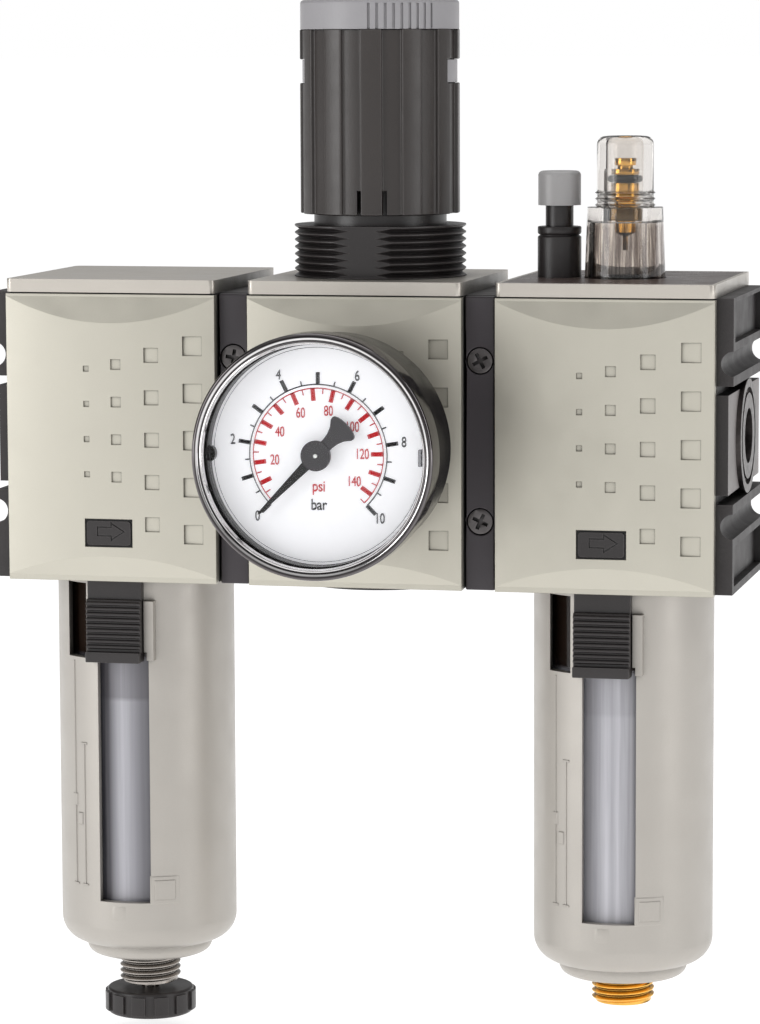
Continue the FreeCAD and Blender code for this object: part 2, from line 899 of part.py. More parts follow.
# columns of squares: place from the module's axis, edge length and row spacing
SQUARE_COLUMNS = ((-4.9, 1.2, 7.35), (1.5, 2.15, 7.83), (9.1, 3.05, 8.82), (17.8, 4.0, 9.8))
SHORT_COLUMNS = 2
ROWS = (-2, -1, 0, 1, 2)


def face_depth(x):
    """How far the swelling face stands off the axis plane at x."""
    share = (x / half_width.number) ** 2
    return half_depth + s.cover_bulge * (1 - share)


def square_recesses(name):
    """Shallow square recesses; the two small columns have no lowest one."""
    tools = []
    for column, (x, edge, spacing) in enumerate(SQUARE_COLUMNS):
        rows = ROWS[1:] if column < SHORT_COLUMNS else ROWS
        for row in rows:
            z = s.square_row_centre + row * spacing
            floor = -(face_depth(x) - s.square_deep)
            tools.append(box(f"{name}_square_{column}_{row + 2}",
                             (x - edge / 2, floor - 3, z - edge / 2),
                             (x + edge / 2, floor, z + edge / 2)))
    return tools


def arrow_seat(name, clearance, deep):
    """The block of a flow-arrow insert, or its seat when it has clearance."""
    half_wide = s.arrow_wide / 2 + clearance
    half_high = s.arrow_high / 2 + clearance
    floor = -(half_depth + s.cover_bulge - s.arrow_deep)
    return box(name, (s.arrow_x - half_wide, floor - deep, s.arrow_z - half_high),
               (s.arrow_x + half_wide, floor, s.arrow_z + half_high))


def front_cover(name, x, extra):
    shell, slopes = cover_shell(name + "_shell")
    cover = cut(name, shell, slopes + square_recesses(name) + extra)
    return place(named(cover, name), x=x)


def rear_cover(name, x):
    shell, slopes = cover_shell(name + "_shell")
    cover = cut(name, shell, slopes)
    return place(cover, x=x, turn=Rotation(Vector(0, 0, 1), 180))


def top_plate(name, x, holes):
    """The flat lid of a module, with rounded corners."""
    corner = s.plate_corner
    outline = [(-half_width, -half_depth, corner), (half_width, -half_depth, corner),
               (half_width, half_depth, corner), (-half_width, half_depth, corner)]
    plate = prism(name + "_blank", "XY_Plane", outline, plate_low, s.module_top)
    if holes:
        plate = cut(name, plate, holes)
    return place(named(plate, name), x=x, z=0 if holes else plate_low)


# ---------- bowls, guards, slides ----------

def bowl_guard(name, x):
    """The metal guard: neck with bayonet lugs, long sleeve, rounded shoulder, step ring."""
    sleeve = revolved(name + "_sleeve", [
        (s.guard_neck_inner, s.guard_neck_top),
        (s.guard_neck_radius, s.guard_neck_top),
        (s.guard_neck_radius, s.guard_top),
        (s.guard_radius, s.guard_top),
        (s.guard_radius, s.guard_shoulder, s.guard_round),
        (s.guard_step_radius, s.guard_shoulder),
        (s.guard_step_radius, s.guard_base, s.guard_step_round),
        (s.guard_hole, s.guard_base),
        (s.guard_hole, s.guard_shoulder + s.guard_floor),
        (s.guard_inner, s.guard_shoulder + s.guard_floor, s.guard_round - s.guard_floor),
        (s.guard_inner, s.guard_top - s.guard_floor),
        (s.guard_neck_inner, s.guard_top - s.guard_floor),
    ])
    half = s.lug_wide / 2
    lug = doc.addObject("Part::Common", name + "_lug")
    lug.Base = box(name + "_lug_block", (s.guard_neck_inner + 0.4, -half, s.lug_low),
                   (s.lug_radius + 1, half, s.lug_high))
    lug.Tool = cylinder(name + "_lug_round", s.lug_radius, (0, 0, s.lug_low - 1), 6)
    rail = box(name + "_rail", (s.rail_left, -s.guard_radius - s.rail_proud, s.rail_low),
               (s.rail_right, -s.guard_inner, s.rail_high))
    blank = fuse(name + "_blank", [sleeve, rail] + around(name + "_lugs", lug, 3, first=LUG_FIRST))
    half_window = s.window_wide / 2
    outside, inside = -s.guard_radius - 2, -s.guard_inner / 2
    window = box(name + "_window", (-half_window, outside, s.window_low),
                 (half_window, inside, s.window_high))
    half_key = s.slide_key_wide / 2 + s.working_gap
    key_way = box(name + "_key_way", (-half_key, outside, s.window_high - 1),
                  (half_key, inside, s.key_way_high))
    slot = box(name + "_slot", (s.side_slot_left, outside, s.side_slot_low),
               (s.side_slot_right, inside, s.side_slot_high))
    return place(named(cut(name, blank, [window, key_way, slot]), name), x=x)


def bowl(name, x):
    """The clear bowl: sealed neck, straight wall, rounded floor with a fitting hole."""
    inner = s.bowl_radius - s.bowl_wall
    neck_inner = s.bowl_neck_radius - s.bowl_neck_wall
    floor = s.bowl_base + s.bowl_wall
    body = revolved(name, [
        (neck_inner, s.bowl_neck_top),
        (s.bowl_neck_radius, s.bowl_neck_top),
        (s.bowl_neck_radius, s.bowl_shoulder),
        (s.bowl_radius, s.bowl_shoulder),
        (s.bowl_radius, s.bowl_base, s.bowl_round),
        (s.bowl_hole, s.bowl_base),
        (s.bowl_hole, floor),
        (inner, floor, s.bowl_round - s.bowl_wall),
        (inner, s.bowl_shoulder - s.bowl_wall),
        (neck_inner, s.bowl_shoulder - s.bowl_wall),
    ])
    return place(named(body, name), x=x)


SLIDE_RIBS = 9


def lock_slide(name, x):
    """The slide that locks the bowl's turn: plain head, ribbed grip, lip and guide key."""
    left = s.slide_centre - s.slide_wide / 2
    right = s.slide_centre + s.slide_wide / 2
    inner = s.guard_inner - s.slide_root_inset
    head = box(name + "_head", (left, -s.slide_plain_y, s.slide_plain_low), (right, -inner, s.slide_top))
    grip = box(name + "_grip", (left, -s.slide_face_y, s.slide_low), (right, -inner, s.slide_plain_low))
    lip = box(name + "_lip", (left, -s.slide_lip_y, s.slide_low), (right, -inner, s.slide_rib_low))
    ribs = []
    for i in range(SLIDE_RIBS):
        low = s.slide_plain_low - s.slide_rib_pitch * (i + 1)
        ribs.append(box(f"{name}_rib_{i}", (left, -s.slide_face_y - s.slide_rib_proud, low),
                        (right, -s.slide_face_y + 1, low + s.slide_rib_high)))
    block = fuse(name + "_block", [head, grip, lip] + ribs)
    round_back = cylinder(name + "_back", s.guard_radius + s.slide_clearance,
                          (0, 0, s.slide_low - 1), s.slide_top - s.slide_low + 2)
    shell = cut(name + "_shell", block, [round_back])
    half = s.slide_key_wide / 2
    middle = (s.slide_plain_low + s.slide_low) / 2
    key = box(name + "_key", (-half, -s.slide_face_y + 0.5, middle - s.slide_key_high / 2),
              (half, -s.guard_inner - 0.1, middle + s.slide_key_high / 2))
    return place(named(fuse(name, [shell, key]), name), x=x)


def fitting(name, x, low, bore, count):
    """A G1/4 fitting through the bowl's floor, with its flange inside."""
    floor = s.bowl_base + s.bowl_wall
    flange_top = floor + s.fitting_flange_thick
    body = revolved(name, [
        (bore, flange_top),
        (s.fitting_flange_radius, flange_top),
        (s.fitting_flange_radius, floor),
        (s.fitting_shank, floor),
        (s.fitting_shank, s.bowl_base - 0.1),
        (s.fitting_relief, s.bowl_base - 0.1),
        (s.fitting_relief, s.fitting_thread_top),
        (s.fitting_major, s.fitting_thread_top),
        (s.fitting_major, low),
        (bore, low),
    ])
    first = s.fitting_thread_top - s.fitting_pitch * count
    grooved(body, s.fitting_major, s.fitting_minor, s.fitting_crest, s.fitting_pitch, first, count)
    return place(named(body, name), x=x)


# ---------- the filter ----------

def filter_cavities():
    """Inlet down into the swirl chamber; clean air up the middle and out to the right."""
    low = s.neck_bore_top - 1
    mouth = -reach + s.port_thread_long - 1
    mouth_long = 4
    return bowl_socket("filter") + [
        cylinder("filter_inlet_drop", s.passage_radius, (s.filter_drop_x, 0, low), s.filter_drop_high),
        cylinder("filter_rise", s.passage_radius, (0, 0, low), s.filter_drop_high + s.passage_radius),
        cylinder("filter_inlet_way", s.passage_radius, (mouth, 0, 0), mouth_long, ALONG_X),
        cylinder("filter_outlet_way", s.passage_radius, (0, 0, 0), reach - 2, ALONG_X),
    ]


module_body("filter_body", filter_x, (MINUS,), (PLUS,), filter_cavities())
front_cover("filter_front_cover", filter_x, [arrow_seat("filter_arrow_seat", 0.05, 5)])
top_plate("filter_top_plate", filter_x, [])
bowl_guard("filter_bowl_guard", filter_x)
bowl("filter_bowl", filter_x)
lock_slide("filter_lock_slide", filter_x)
fitting("drain_nipple", filter_x, s.fitting_low, s.drain_bore, 4)


VANE_GAPS = 16
VANE_LEAN = 24.0


def swirl_vane():
    """A disc with slanting slots that spins the air; its hub stands on the body."""
    low, top = s.element_top, s.element_top + s.vane_thick
    hub = s.passage_radius + s.vane_hub_wall
    half = s.vane_gap_wide / 2
    disc = revolved("vane_disc", [
        (s.passage_radius, s.neck_bore_top), (hub, s.neck_bore_top), (hub, top),
        (s.vane_radius, top), (s.vane_radius, low), (s.passage_radius, low),
    ])
    gap = box("vane_gap", (s.element_radius - 1, -half, low - 1), (s.vane_radius + 1, half, top + 1))
    gap.Placement = Placement(Vector(), Rotation(Vector(1, 0, 0), VANE_LEAN))
    return cut("filter_swirl_vane", disc, around("vane_gaps", gap, VANE_GAPS))


def filter_baffle():
    """The umbrella under the element keeps collected water still; its tube holds the element."""
    top = s.element_low
    shoulder = s.baffle_radius - s.baffle_slope
    shape = revolved("baffle_shape", [
        (s.stud_bore, s.stud_top), (s.stud_radius, s.stud_top), (s.stud_radius, top),
        (shoulder, top), (s.baffle_radius, top - s.baffle_thick),
        (s.baffle_radius - s.baffle_lip, top - s.baffle_thick),
        (shoulder - s.baffle_lip, top - s.baffle_skin), (s.stud_radius, top - s.baffle_skin),
        (s.stud_radius, s.stud_low), (0, s.stud_low),
        (0, s.stud_low + s.bowl_wall), (s.stud_bore, s.stud_low + s.bowl_wall),
    ])
    half = s.baffle_window_half
    windows = box("baffle_windows", (-s.stud_radius - 1, -half, top + 4),
                  (s.stud_radius + 1, half, s.element_top - 3))
    return cut("filter_baffle", shape, [windows])


place(named(swirl_vane(), "filter_swirl_vane"), x=filter_x)
place(named(filter_baffle(), "filter_baffle"), x=filter_x)
place(named(revolved("filter_element", [
    (s.element_bore, s.element_top), (s.element_radius, s.element_top),
    (s.element_radius, s.element_low), (s.element_bore, s.element_low),
]), "filter_element"), x=filter_x)

stem_foot = s.drain_knob_low + 1.5
place(named(revolved("drain_stem", [
    (0, s.drain_stem_top), (s.drain_stem_radius - 0.8, s.drain_stem_top),
    (s.drain_stem_radius - 0.05, s.drain_stem_top - 1.5),
    (s.drain_stem_radius - 0.05, stem_foot), (0, stem_foot),
]), "drain_stem"), x=filter_x)


def drain_knob():
    """A round knob whose rim carries raised rectangular panels."""
    disc = revolved("drain_disc", [
        (s.drain_stem_radius, s.drain_knob_top), (s.drain_knob_radius, s.drain_knob_top, 0.6),
        (s.drain_knob_radius, s.drain_knob_low, 0.8), (0, s.drain_knob_low),
        (0, stem_foot), (s.drain_stem_radius, stem_foot),
    ])
    middle = (s.drain_knob_top + s.drain_knob_low) / 2
    half_wide, half_high = s.drain_rib_wide / 2, s.drain_rib_high / 2
    panel = doc.addObject("Part::Common", "drain_panel")
    panel.Base = box("drain_panel_block", (s.drain_knob_radius - 1.5, -half_wide, middle - half_high),
                     (s.drain_knob_rim + 1, half_wide, middle + half_high))
    panel.Tool = cylinder("drain_panel_round", s.drain_knob_rim, (0, 0, s.drain_knob_low), 6)
    return fuse("drain_knob", [disc] + around("drain_panels", panel, 12))


place(named(drain_knob(), "drain_knob"), x=filter_x)


# ---------- the regulator ----------

def regulator_cavities():
    """Bonnet seat and diaphragm cavity above, valve chambers in the middle, plug seat below."""
    chambers = revolved("regulator_chambers", [
        (0, plate_low + 1),
        (s.bonnet_flange_radius + s.working_gap, plate_low + 1),
        (s.bonnet_flange_radius + s.working_gap, s.diaphragm_low),
        (s.diaphragm_cavity, s.diaphragm_low),
        (s.diaphragm_cavity, s.diaphragm_cavity_low),
        (s.valve_guide_radius, s.diaphragm_cavity_low),
        (s.valve_guide_radius, s.upper_chamber_top),
        (s.valve_chamber, s.upper_chamber_top),
        (s.valve_chamber, s.valve_seat_high),
        (s.valve_seat_radius, s.valve_seat_high),
        (s.valve_seat_radius, s.valve_seat_low),
        (s.valve_chamber, s.valve_seat_low),
        (s.valve_chamber, s.plug_top),
        (s.plug_shank_radius + s.working_gap, s.plug_top),
        (s.plug_shank_radius + s.working_gap, s.plug_flange_top),
        (s.plug_radius + s.working_gap, s.plug_flange_top),
        (s.plug_radius + s.working_gap, s.body_base - 1),
        (0, s.body_base - 1),
    ])
    level = s.passage_radius + s.way_step
    mouth = reach - s.port_thread_long
    inlet = cylinder("regulator_inlet_way", s.passage_radius,
                     (-mouth - 2, 0, -level), s.way_in_long, ALONG_X)
    inlet_drop = cylinder("regulator_inlet_drop", s.passage_radius,
                          (-mouth - s.way_in_inset, 0, -level), level + 2)
    outlet = cylinder("regulator_outlet_way", s.passage_radius, (0, 0, level), s.way_out_long, ALONG_X)
    outlet_drop = cylinder("regulator_outlet_drop", s.passage_radius,
                           (mouth + s.way_out_inset, 0, 0), level + 1)
    sense = cylinder("regulator_sense_hole", s.sense_radius, (s.sense_x, 0, s.upper_chamber_top - 1),
                     s.diaphragm_cavity_low - s.upper_chamber_top + 2)
    gauge_way = cylinder("regulator_gauge_way", s.gauge_port, (0, -s.gauge_stem_deep, 0),
                         s.gauge_way_long, ALONG_MINUS_Y)
    lift = cylinder("regulator_gauge_lift", s.gauge_lift_radius,
                    (0, -s.gauge_stem_deep + s.gauge_lift_inset, -1), level + 1 + s.gauge_lift_radius)
    duct = cylinder("regulator_gauge_duct", s.gauge_duct_radius, (0, -s.poppet_radius, level),
                    s.gauge_duct_long, ALONG_MINUS_Y)
    link = cylinder("regulator_gauge_link", s.gauge_duct_radius, (0, -s.gauge_stem_deep + 3, 0),
                    s.gauge_duct_long / 2, ALONG_MINUS_Y)
    return [chambers, inlet, inlet_drop, outlet, outlet_drop, sense, gauge_way, lift, duct, link]


module_body("regulator_body", regulator_x, (), (MINUS, PLUS), regulator_cavities())
gauge_hole = cylinder("gauge_hole", s.gauge_hole, (0, -body_front + 1, 0), 6, ALONG_MINUS_Y)
front_cover("regulator_front_cover", regulator_x, [gauge_hole])
bonnet_hole = cylinder("bonnet_hole", s.panel_major + s.working_gap, (0, 0, plate_low - 1), 6)
top_plate("regulator_top_plate", regulator_x, [bonnet_hole])


PANEL_THREADS = 7


def bonnet():
    """Spring housing: clamped flange, panel thread with two flats, neck and inner tube."""
    first = s.panel_top - s.panel_pitch * PANEL_THREADS - s.panel_crest
    shell = revolved("bonnet_shell", [
        (s.bonnet_cavity, s.bonnet_flange_low),
        (s.bonnet_flange_radius, s.bonnet_flange_low),
        (s.bonnet_flange_radius, plate_low),
        (s.panel_relief, plate_low),
        (s.panel_relief, first),
        (s.panel_major, first),
        (s.panel_major, s.panel_top),
        (s.bonnet_neck_radius, s.panel_top),
        (s.bonnet_neck_radius, s.bonnet_neck_top),
        (s.bonnet_tube_radius, s.bonnet_neck_top),
        (s.bonnet_tube_radius, s.bonnet_top),
        (s.screw_neck_bore, s.bonnet_top),
        (s.screw_neck_bore, s.bonnet_wall_low),
        (s.bonnet_bore, s.bonnet_wall_low),
        (s.bonnet_bore, s.bonnet_cavity_top),
        (s.bonnet_cavity, s.bonnet_cavity_top),
    ])
    grooved(shell, s.panel_major, s.panel_minor, s.panel_crest, s.panel_pitch, first,
            PANEL_THREADS)
    tools = []
    for face in (PLUS, MINUS):
        near, far = face * s.panel_flat, face * (s.panel_major + 2)
        low_y, high_y = (near, far) if face > 0 else (far, near)
        tools.append(box(f"bonnet_flat_{face}", (-s.panel_major / 2, low_y,
                          s.module_top + s.panel_flat_lift),
                         (s.panel_major / 2, high_y, s.panel_top + 1)))
    half = s.key_wide / 2
    tools.append(box("bonnet_key_slot", (-s.key_radius, -half, s.bonnet_cavity_top - 1),
                     (s.key_radius, half, s.bonnet_wall_low)))
    return cut("regulator_bonnet", shell, tools)


KNOB_RIBS = 12
CAP_LINES = 9
CAP_FIRST_LINE = -85.0
CAP_LINE_STEP = 6.0


def knob():
    """Pull-to-unlock knob: ribbed sleeve, two side windows and a snap finger at the front."""
    sleeve = revolved("knob_sleeve", [
        (s.knob_inner, s.knob_low), (s.knob_valley, s.knob_low),
        (s.knob_valley, s.knob_top), (s.knob_inner, s.knob_top),
    ])
    half = s.knob_rib_wide / 2
    rib = doc.addObject("Part::Common", "knob_rib")
    rib.Base = box("knob_rib_block", (s.knob_inner + 0.8, -half, s.knob_low),
                   (s.knob_rim + 1, half, s.knob_top))
    rib.Tool = cylinder("knob_rib_round", s.knob_rim, (0, 0, s.knob_low), s.knob_top - s.knob_low)
    blank = fuse("knob_blank", [sleeve] + around("knob_ribs", rib, KNOB_RIBS))
    windows = box("knob_windows", (-s.knob_rim - 1, -s.knob_window_half, s.knob_window_low),
                  (s.knob_rim + 1, s.knob_window_half, s.knob_window_high))
    slots = []
    for side in (PLUS, MINUS):
        middle = side * (half + s.knob_finger_slot / 2)
        slots.append(box(f"knob_slot_{side}",
                         (middle - s.knob_finger_slot / 2, -s.knob_rim - 1, s.knob_low - 1),
                         (middle + s.knob_finger_slot / 2, s.knob_finger_back,
                          s.knob_finger_high)))
    return cut("regulator_knob", blank, [windows] + slots)


def knob_cap():
    """Grey end cap: disc, skirt with two tabs in the knob's windows, socket on the screw."""
    cap = revolved("cap_shell", [
        (0, s.cap_top), (s.cap_radius, s.cap_top, s.cap_round),
        (s.cap_radius, s.knob_top), (s.cap_skirt_out, s.knob_top),
        (s.cap_skirt_out, s.cap_skirt_low), (s.cap_skirt_in, s.cap_skirt_low),
        (s.cap_skirt_in, s.knob_top), (s.cap_hollow, s.knob_top),
        (s.cap_hollow, s.cap_top - s.cap_wall), (s.cap_boss_radius, s.cap_top - s.cap_wall),
        (s.cap_boss_radius, s.cap_boss_low), (0, s.cap_boss_low),
    ])
    socket = hexagon("cap_socket", s.drive_across + 2 * s.drive_clearance, (0, 0, s.cap_boss_low - 1),
                     s.drive_top - s.cap_boss_low + 1.6)
    half = s.knob_window_half - s.working_gap
    tab_low, tab_high = s.knob_window_low + s.working_gap, s.knob_window_high - s.working_gap
    tabs = doc.addObject("Part::Common", "cap_tabs")
    tabs.Base = revolved("cap_tab_ring", [
        (s.cap_skirt_in + 0.1, tab_low), (s.cap_tab_radius, tab_low),
        (s.cap_tab_radius, tab_high), (s.cap_skirt_in + 0.1, tab_high),
    ])
    tabs.Tool = box("cap_tab_block", (-s.knob_rim, -half, tab_low), (s.knob_rim, half, tab_high))
    tabs.Placement = Placement(Vector(), Rotation(Vector(0, 0, 1), SIZES["knob_turn"]))
    half = s.cap_line_half
    groove = box("cap_groove", (s.cap_radius - s.cap_line_deep, -half, s.knob_top - 1),
                 (s.cap_radius + 1, half, s.cap_top - s.cap_round))
    lines = around("cap_grooves", groove, CAP_LINES, CAP_FIRST_LINE, CAP_LINE_STEP * CAP_LINES)
    return cut("knob_cap", fuse("cap_blank", [cap, tabs]), [socket] + lines)


def adjusting_screw():
    """Left-hand screw held in the bonnet: hexagon drive, neck, collar and thread."""
    shaft = revolved("adjust_shaft", [
        (0, s.bonnet_top + 0.5), (s.screw_neck_radius, s.bonnet_top + 0.5),
        (s.screw_neck_radius, s.bonnet_wall_low - 0.1),
        (s.screw_collar_radius, s.bonnet_wall_low - 0.1),
        (s.screw_collar_radius, s.screw_collar_low), (s.adjust_major, s.screw_collar_low),
        (s.adjust_major, s.adjust_low), (0, s.adjust_low),
    ])
    drive = hexagon("adjust_drive", s.drive_across, (0, 0, s.bonnet_top + 0.3),
                    s.drive_top - s.bonnet_top - 0.3)
    return fuse("adjusting_screw", [shaft, drive])


def spring_nut():
    """The nut that presses the spring; two keys stop it turning in the bonnet."""
    disc = revolved("nut_disc", [
        (s.nut_bore, s.nut_top), (s.nut_radius, s.nut_top), (s.nut_radius, s.nut_low),
        (s.nut_spigot, s.nut_low), (s.nut_spigot, s.nut_spigot_low), (s.nut_bore, s.nut_spigot_low),
    ])
    half = s.nut_key_wide / 2
    keys = [
        box("nut_key_right", (s.nut_radius - 1.5, -half, s.nut_low), (s.nut_key_radius, half, s.nut_top)),
        box("nut_key_left", (-s.nut_key_radius, -half, s.nut_low), (1.5 - s.nut_radius, half, s.nut_top)),
    ]
    return fuse("spring_nut", [disc] + keys)


place(named(bonnet(), "regulator_bonnet"), x=regulator_x)
knob_turn = Rotation(Vector(0, 0, 1), SIZES["knob_turn"])
place(named(knob(), "regulator_knob"), x=regulator_x, turn=knob_turn)
place(named(knob_cap(), "knob_cap"), x=regulator_x)
place(named(adjusting_screw(), "adjusting_screw"), x=regulator_x)
place(named(spring_nut(), "spring_nut"), x=regulator_x)
main_spring = coil("main_spring", s.main_spring_radius, s.main_spring_wire, s.main_spring_pitch,
                   s.disc_top, s.nut_low)
bind(named(main_spring, "main_spring"), "Placement.Base.x", regulator_x)

diaphragm_top = s.diaphragm_low + s.diaphragm_thick
place(named(revolved("diaphragm", [
    (s.diaphragm_hole, s.diaphragm_low), (s.diaphragm_radius, s.diaphragm_low),
    (s.diaphragm_radius, diaphragm_top), (s.diaphragm_hole, diaphragm_top),
]), "diaphragm"), x=regulator_x)
place(named(revolved("diaphragm_disc", [
    (0, diaphragm_top), (s.disc_radius, diaphragm_top), (s.disc_radius, s.disc_top),
    (s.disc_boss_radius, s.disc_top), (s.disc_boss_radius, s.disc_boss_top),
    (s.disc_boss_radius - 2, s.disc_boss_top), (s.disc_boss_radius - 2, s.disc_top), (0, s.disc_top),
]), "diaphragm_disc"), x=regulator_x)
place(named(revolved("valve_stem", [
    (0, diaphragm_top), (s.valve_stem_radius, diaphragm_top), (s.valve_stem_radius, s.poppet_high),
    (s.poppet_radius, s.poppet_high), (s.poppet_radius, s.poppet_low),
    (s.valve_stem_radius, s.poppet_low), (s.valve_stem_radius, s.valve_tail_low), (0, s.valve_tail_low),
]), "valve_stem"), x=regulator_x)
valve_spring = coil("valve_spring", s.valve_spring_radius, s.valve_spring_wire, s.valve_spring_pitch,
                    s.plug_cup_low, s.poppet_low)
bind(named(valve_spring, "valve_spring"), "Placement.Base.x", regulator_x)
place(named(revolved("bottom_plug", [
    (0, s.plug_low), (s.plug_radius, s.plug_low), (s.plug_radius, s.plug_flange_top),
    (s.plug_shank_radius, s.plug_flange_top), (s.plug_shank_radius, s.plug_top),
    (s.plug_cup, s.plug_top), (s.plug_cup, s.plug_cup_low), (s.valve_guide_radius, s.plug_cup_low),
    (s.valve_guide_radius, s.valve_tail_low - 2.5), (0, s.valve_tail_low - 2.5),
]), "bottom_plug"), x=regulator_x)


# ---------- the gauge ----------

def turned_forward(name, points):
    """A turned gauge piece: heights in its section run forward from the axis plane."""
    return place(named(revolved(name, points), name), x=regulator_x, turn=ALONG_MINUS_Y)


turned_forward("gauge_case", [
    (s.gauge_case_hole, s.gauge_case_back), (s.gauge_case_radius, s.gauge_case_back, 1.5),
    (s.gauge_case_radius, s.gauge_case_front),
    (s.gauge_case_radius - s.gauge_case_wall, s.gauge_case_front),
    (s.gauge_case_radius - s.gauge_case_wall, s.gauge_case_back + s.gauge_case_wall),
    (s.gauge_case_hole, s.gauge_case_back + s.gauge_case_wall),
])
turned_forward("gauge_bezel", [
    (s.gauge_case_radius + 0.02, s.bezel_back), (s.bezel_radius, s.bezel_back),
    (s.bezel_radius, s.bezel_front, 0.9), (s.bezel_inner, s.bezel_front),
    (s.bezel_inner, s.lens_front), (s.gauge_case_radius + 0.02, s.lens_front),
])
turned_forward("gauge_lens", [
    (0, s.lens_back), (s.lens_radius, s.lens_back), (s.lens_radius, s.lens_front), (0, s.lens_front),
])
turned_forward("gauge_dial", [
    (s.pointer_arbor + 0.3, s.dial_front - s.dial_thick), (s.dial_radius, s.dial_front - s.dial_thick),
    (s.dial_radius, s.dial_front), (s.pointer_arbor + 0.3, s.dial_front),
])


def gauge_stem():
    """Thread into the regulator, hexagon collar, and the block inside that holds the tube."""
    thread = cylinder("stem_thread", s.gauge_stem_thread, (0, 0, s.gauge_stem_deep + 0.2),
                      s.gauge_collar_front - s.gauge_stem_deep)
    collar = hexagon("stem_collar", s.gauge_stem_across, (0, 0, s.gauge_collar_front),
                     s.gauge_case_back - s.gauge_collar_front)
    half = s.gauge_block_half
    block = box("stem_block", (-half, -half, s.gauge_case_back + s.gauge_case_wall),
                (half, half, s.gauge_block_front))
    arm_half = s.tube_wire + 0.6
    arm = box("stem_arm", (0, -arm_half, s.tube_y - arm_half),
              (s.tube_centre + s.tube_wire, 0, s.tube_y + arm_half))
    spigot = cylinder("stem_spigot", s.gauge_spigot_radius, (0, 0, s.gauge_case_back - 1),
                      s.gauge_case_wall + 2)
    bore_depth = s.gauge_block_front - s.pointer_arbor_deep - 1 - s.gauge_stem_deep
    bores = [
        cylinder("stem_bore", s.gauge_stem_bore, (0, 0, s.gauge_stem_deep - 1), bore_depth),
        cylinder("arbor_bore", s.pointer_arbor + s.working_gap / 2,
                 (0, 0, s.gauge_block_front - s.pointer_arbor_deep), s.pointer_arbor_deep + 2),
    ]
    return cut("gauge_stem", fuse("stem_blank", [thread, collar, block, arm, spigot]), bores)


place(named(gauge_stem(), "gauge_stem"), x=regulator_x, turn=ALONG_MINUS_Y)

tube = doc.addObject("Part::Torus", "gauge_tube")
bind(tube, "Radius1", s.tube_centre)
bind(tube, "Radius2", s.tube_wire)
tube.Angle3 = 250.0
place(tube, x=regulator_x, y=-s.tube_y, turn=Rotation(Vector(1, 0, 0), 90))


def pointer():
    """Tapered needle with hub, flared tail and arbor, pointing straight up before it is turned."""
    back = s.pointer_front - s.pointer_thick
    needle = prism("pointer_needle", "XY_Plane", [
        (-s.pointer_root_half, 0), (s.pointer_root_half, 0),
        (s.pointer_tip_half, s.pointer_tip - 1), (0, s.pointer_tip),
        (-s.pointer_tip_half, s.pointer_tip - 1),
    ], back, s.pointer_front)
    corner = s.pointer_tail_corner
    tail = prism("pointer_tail", "XY_Plane", [
        (s.pointer_root_half, 0), (-s.pointer_root_half, 0),
        (-s.pointer_root_half, -s.pointer_tail / 2), (-s.pointer_tail_half, corner - s.pointer_tail),
        (corner - s.pointer_tail_half, -s.pointer_tail), (s.pointer_tail_half - corner, -s.pointer_tail),
        (s.pointer_tail_half, corner - s.pointer_tail), (s.pointer_root_half, -s.pointer_tail / 2),
    ], back, s.pointer_front)
    hub = cylinder("pointer_hub", s.pointer_hub, (0, 0, back), s.pointer_thick + 0.25)
    arbor = cylinder("pointer_arbor", s.pointer_arbor, (0, 0, s.gauge_block_front - 5),
                     s.pointer_front - s.gauge_block_front + 5)
    return fuse("gauge_pointer", [needle, tail, hub, arbor])


ZERO_MARK = 135.0
facing = Rotation(Vector(1, 0, 0), 90)
at_zero = facing.multiply(Rotation(Vector(0, 0, 1), ZERO_MARK))
place(named(pointer(), "gauge_pointer"), x=regulator_x, turn=at_zero)


# ---------- the lubricator ----------

def lubricator_cavities():
    """Straight air way, sight chamber above it, bowl socket below it, fill button's bore."""
    groove_half = s.dome_seal_wire + s.working_gap
    groove_floor = s.dome_flange_low - 2 * s.dome_seal_wire - s.working_gap / 2
    into_way = 5
    return bowl_socket("lubricator") + [
        cylinder("lub_way", s.passage_radius, (-reach + 1, 0, 0), 2 * reach - 2, ALONG_X),
        revolved("lub_sight_seat", [
            (0, plate_low + 1), (s.dome_flange_radius + s.working_gap, plate_low + 1),
            (s.dome_flange_radius + s.working_gap, s.dome_flange_low),
            (s.dome_seal_centre + groove_half, s.dome_flange_low),
            (s.dome_seal_centre + groove_half, groove_floor),
            (s.dome_seal_centre - groove_half, groove_floor),
            (s.dome_seal_centre - groove_half, s.dome_flange_low), (s.dome_cavity, s.dome_flange_low),
            (s.dome_cavity, s.sight_floor), (0, s.sight_floor),
        ]),
        cylinder("lub_drip_hole", s.drip_hole_radius, (s.drip_hole_x, 0, s.drip_hole_low),
                 s.sight_floor + 1 - s.drip_hole_low),
        cylinder("lub_siphon_hole", s.siphon_radius, (0, 0, s.neck_bore_top - 1),
                 s.siphon_top - s.neck_bore_top + into_way),
        cylinder("lub_button_seat", s.button_base_radius + s.working_gap / 2,
                 (s.button_x, 0, s.button_base_low), plate_low - s.button_base_low + 1),
        cylinder("lub_button_way", s.button_way_radius, (s.button_x, 0, s.button_way_low),
                 s.button_base_low + 1 - s.button_way_low),
        cylinder("lub_bleed", s.bleed_radius, (s.bleed_x, 0, s.neck_bore_top - 1), s.bleed_long),
    ]


module_body("lubricator_body", lubricator_x, (PLUS,), (MINUS,), lubricator_cavities())
front_cover("lubricator_front_cover", lubricator_x, [arrow_seat("lub_arrow_seat", 0.05, 5)])


def through_lid(name, radius, x):
    return cylinder(name, radius, (x, 0, plate_low - 1), 6)


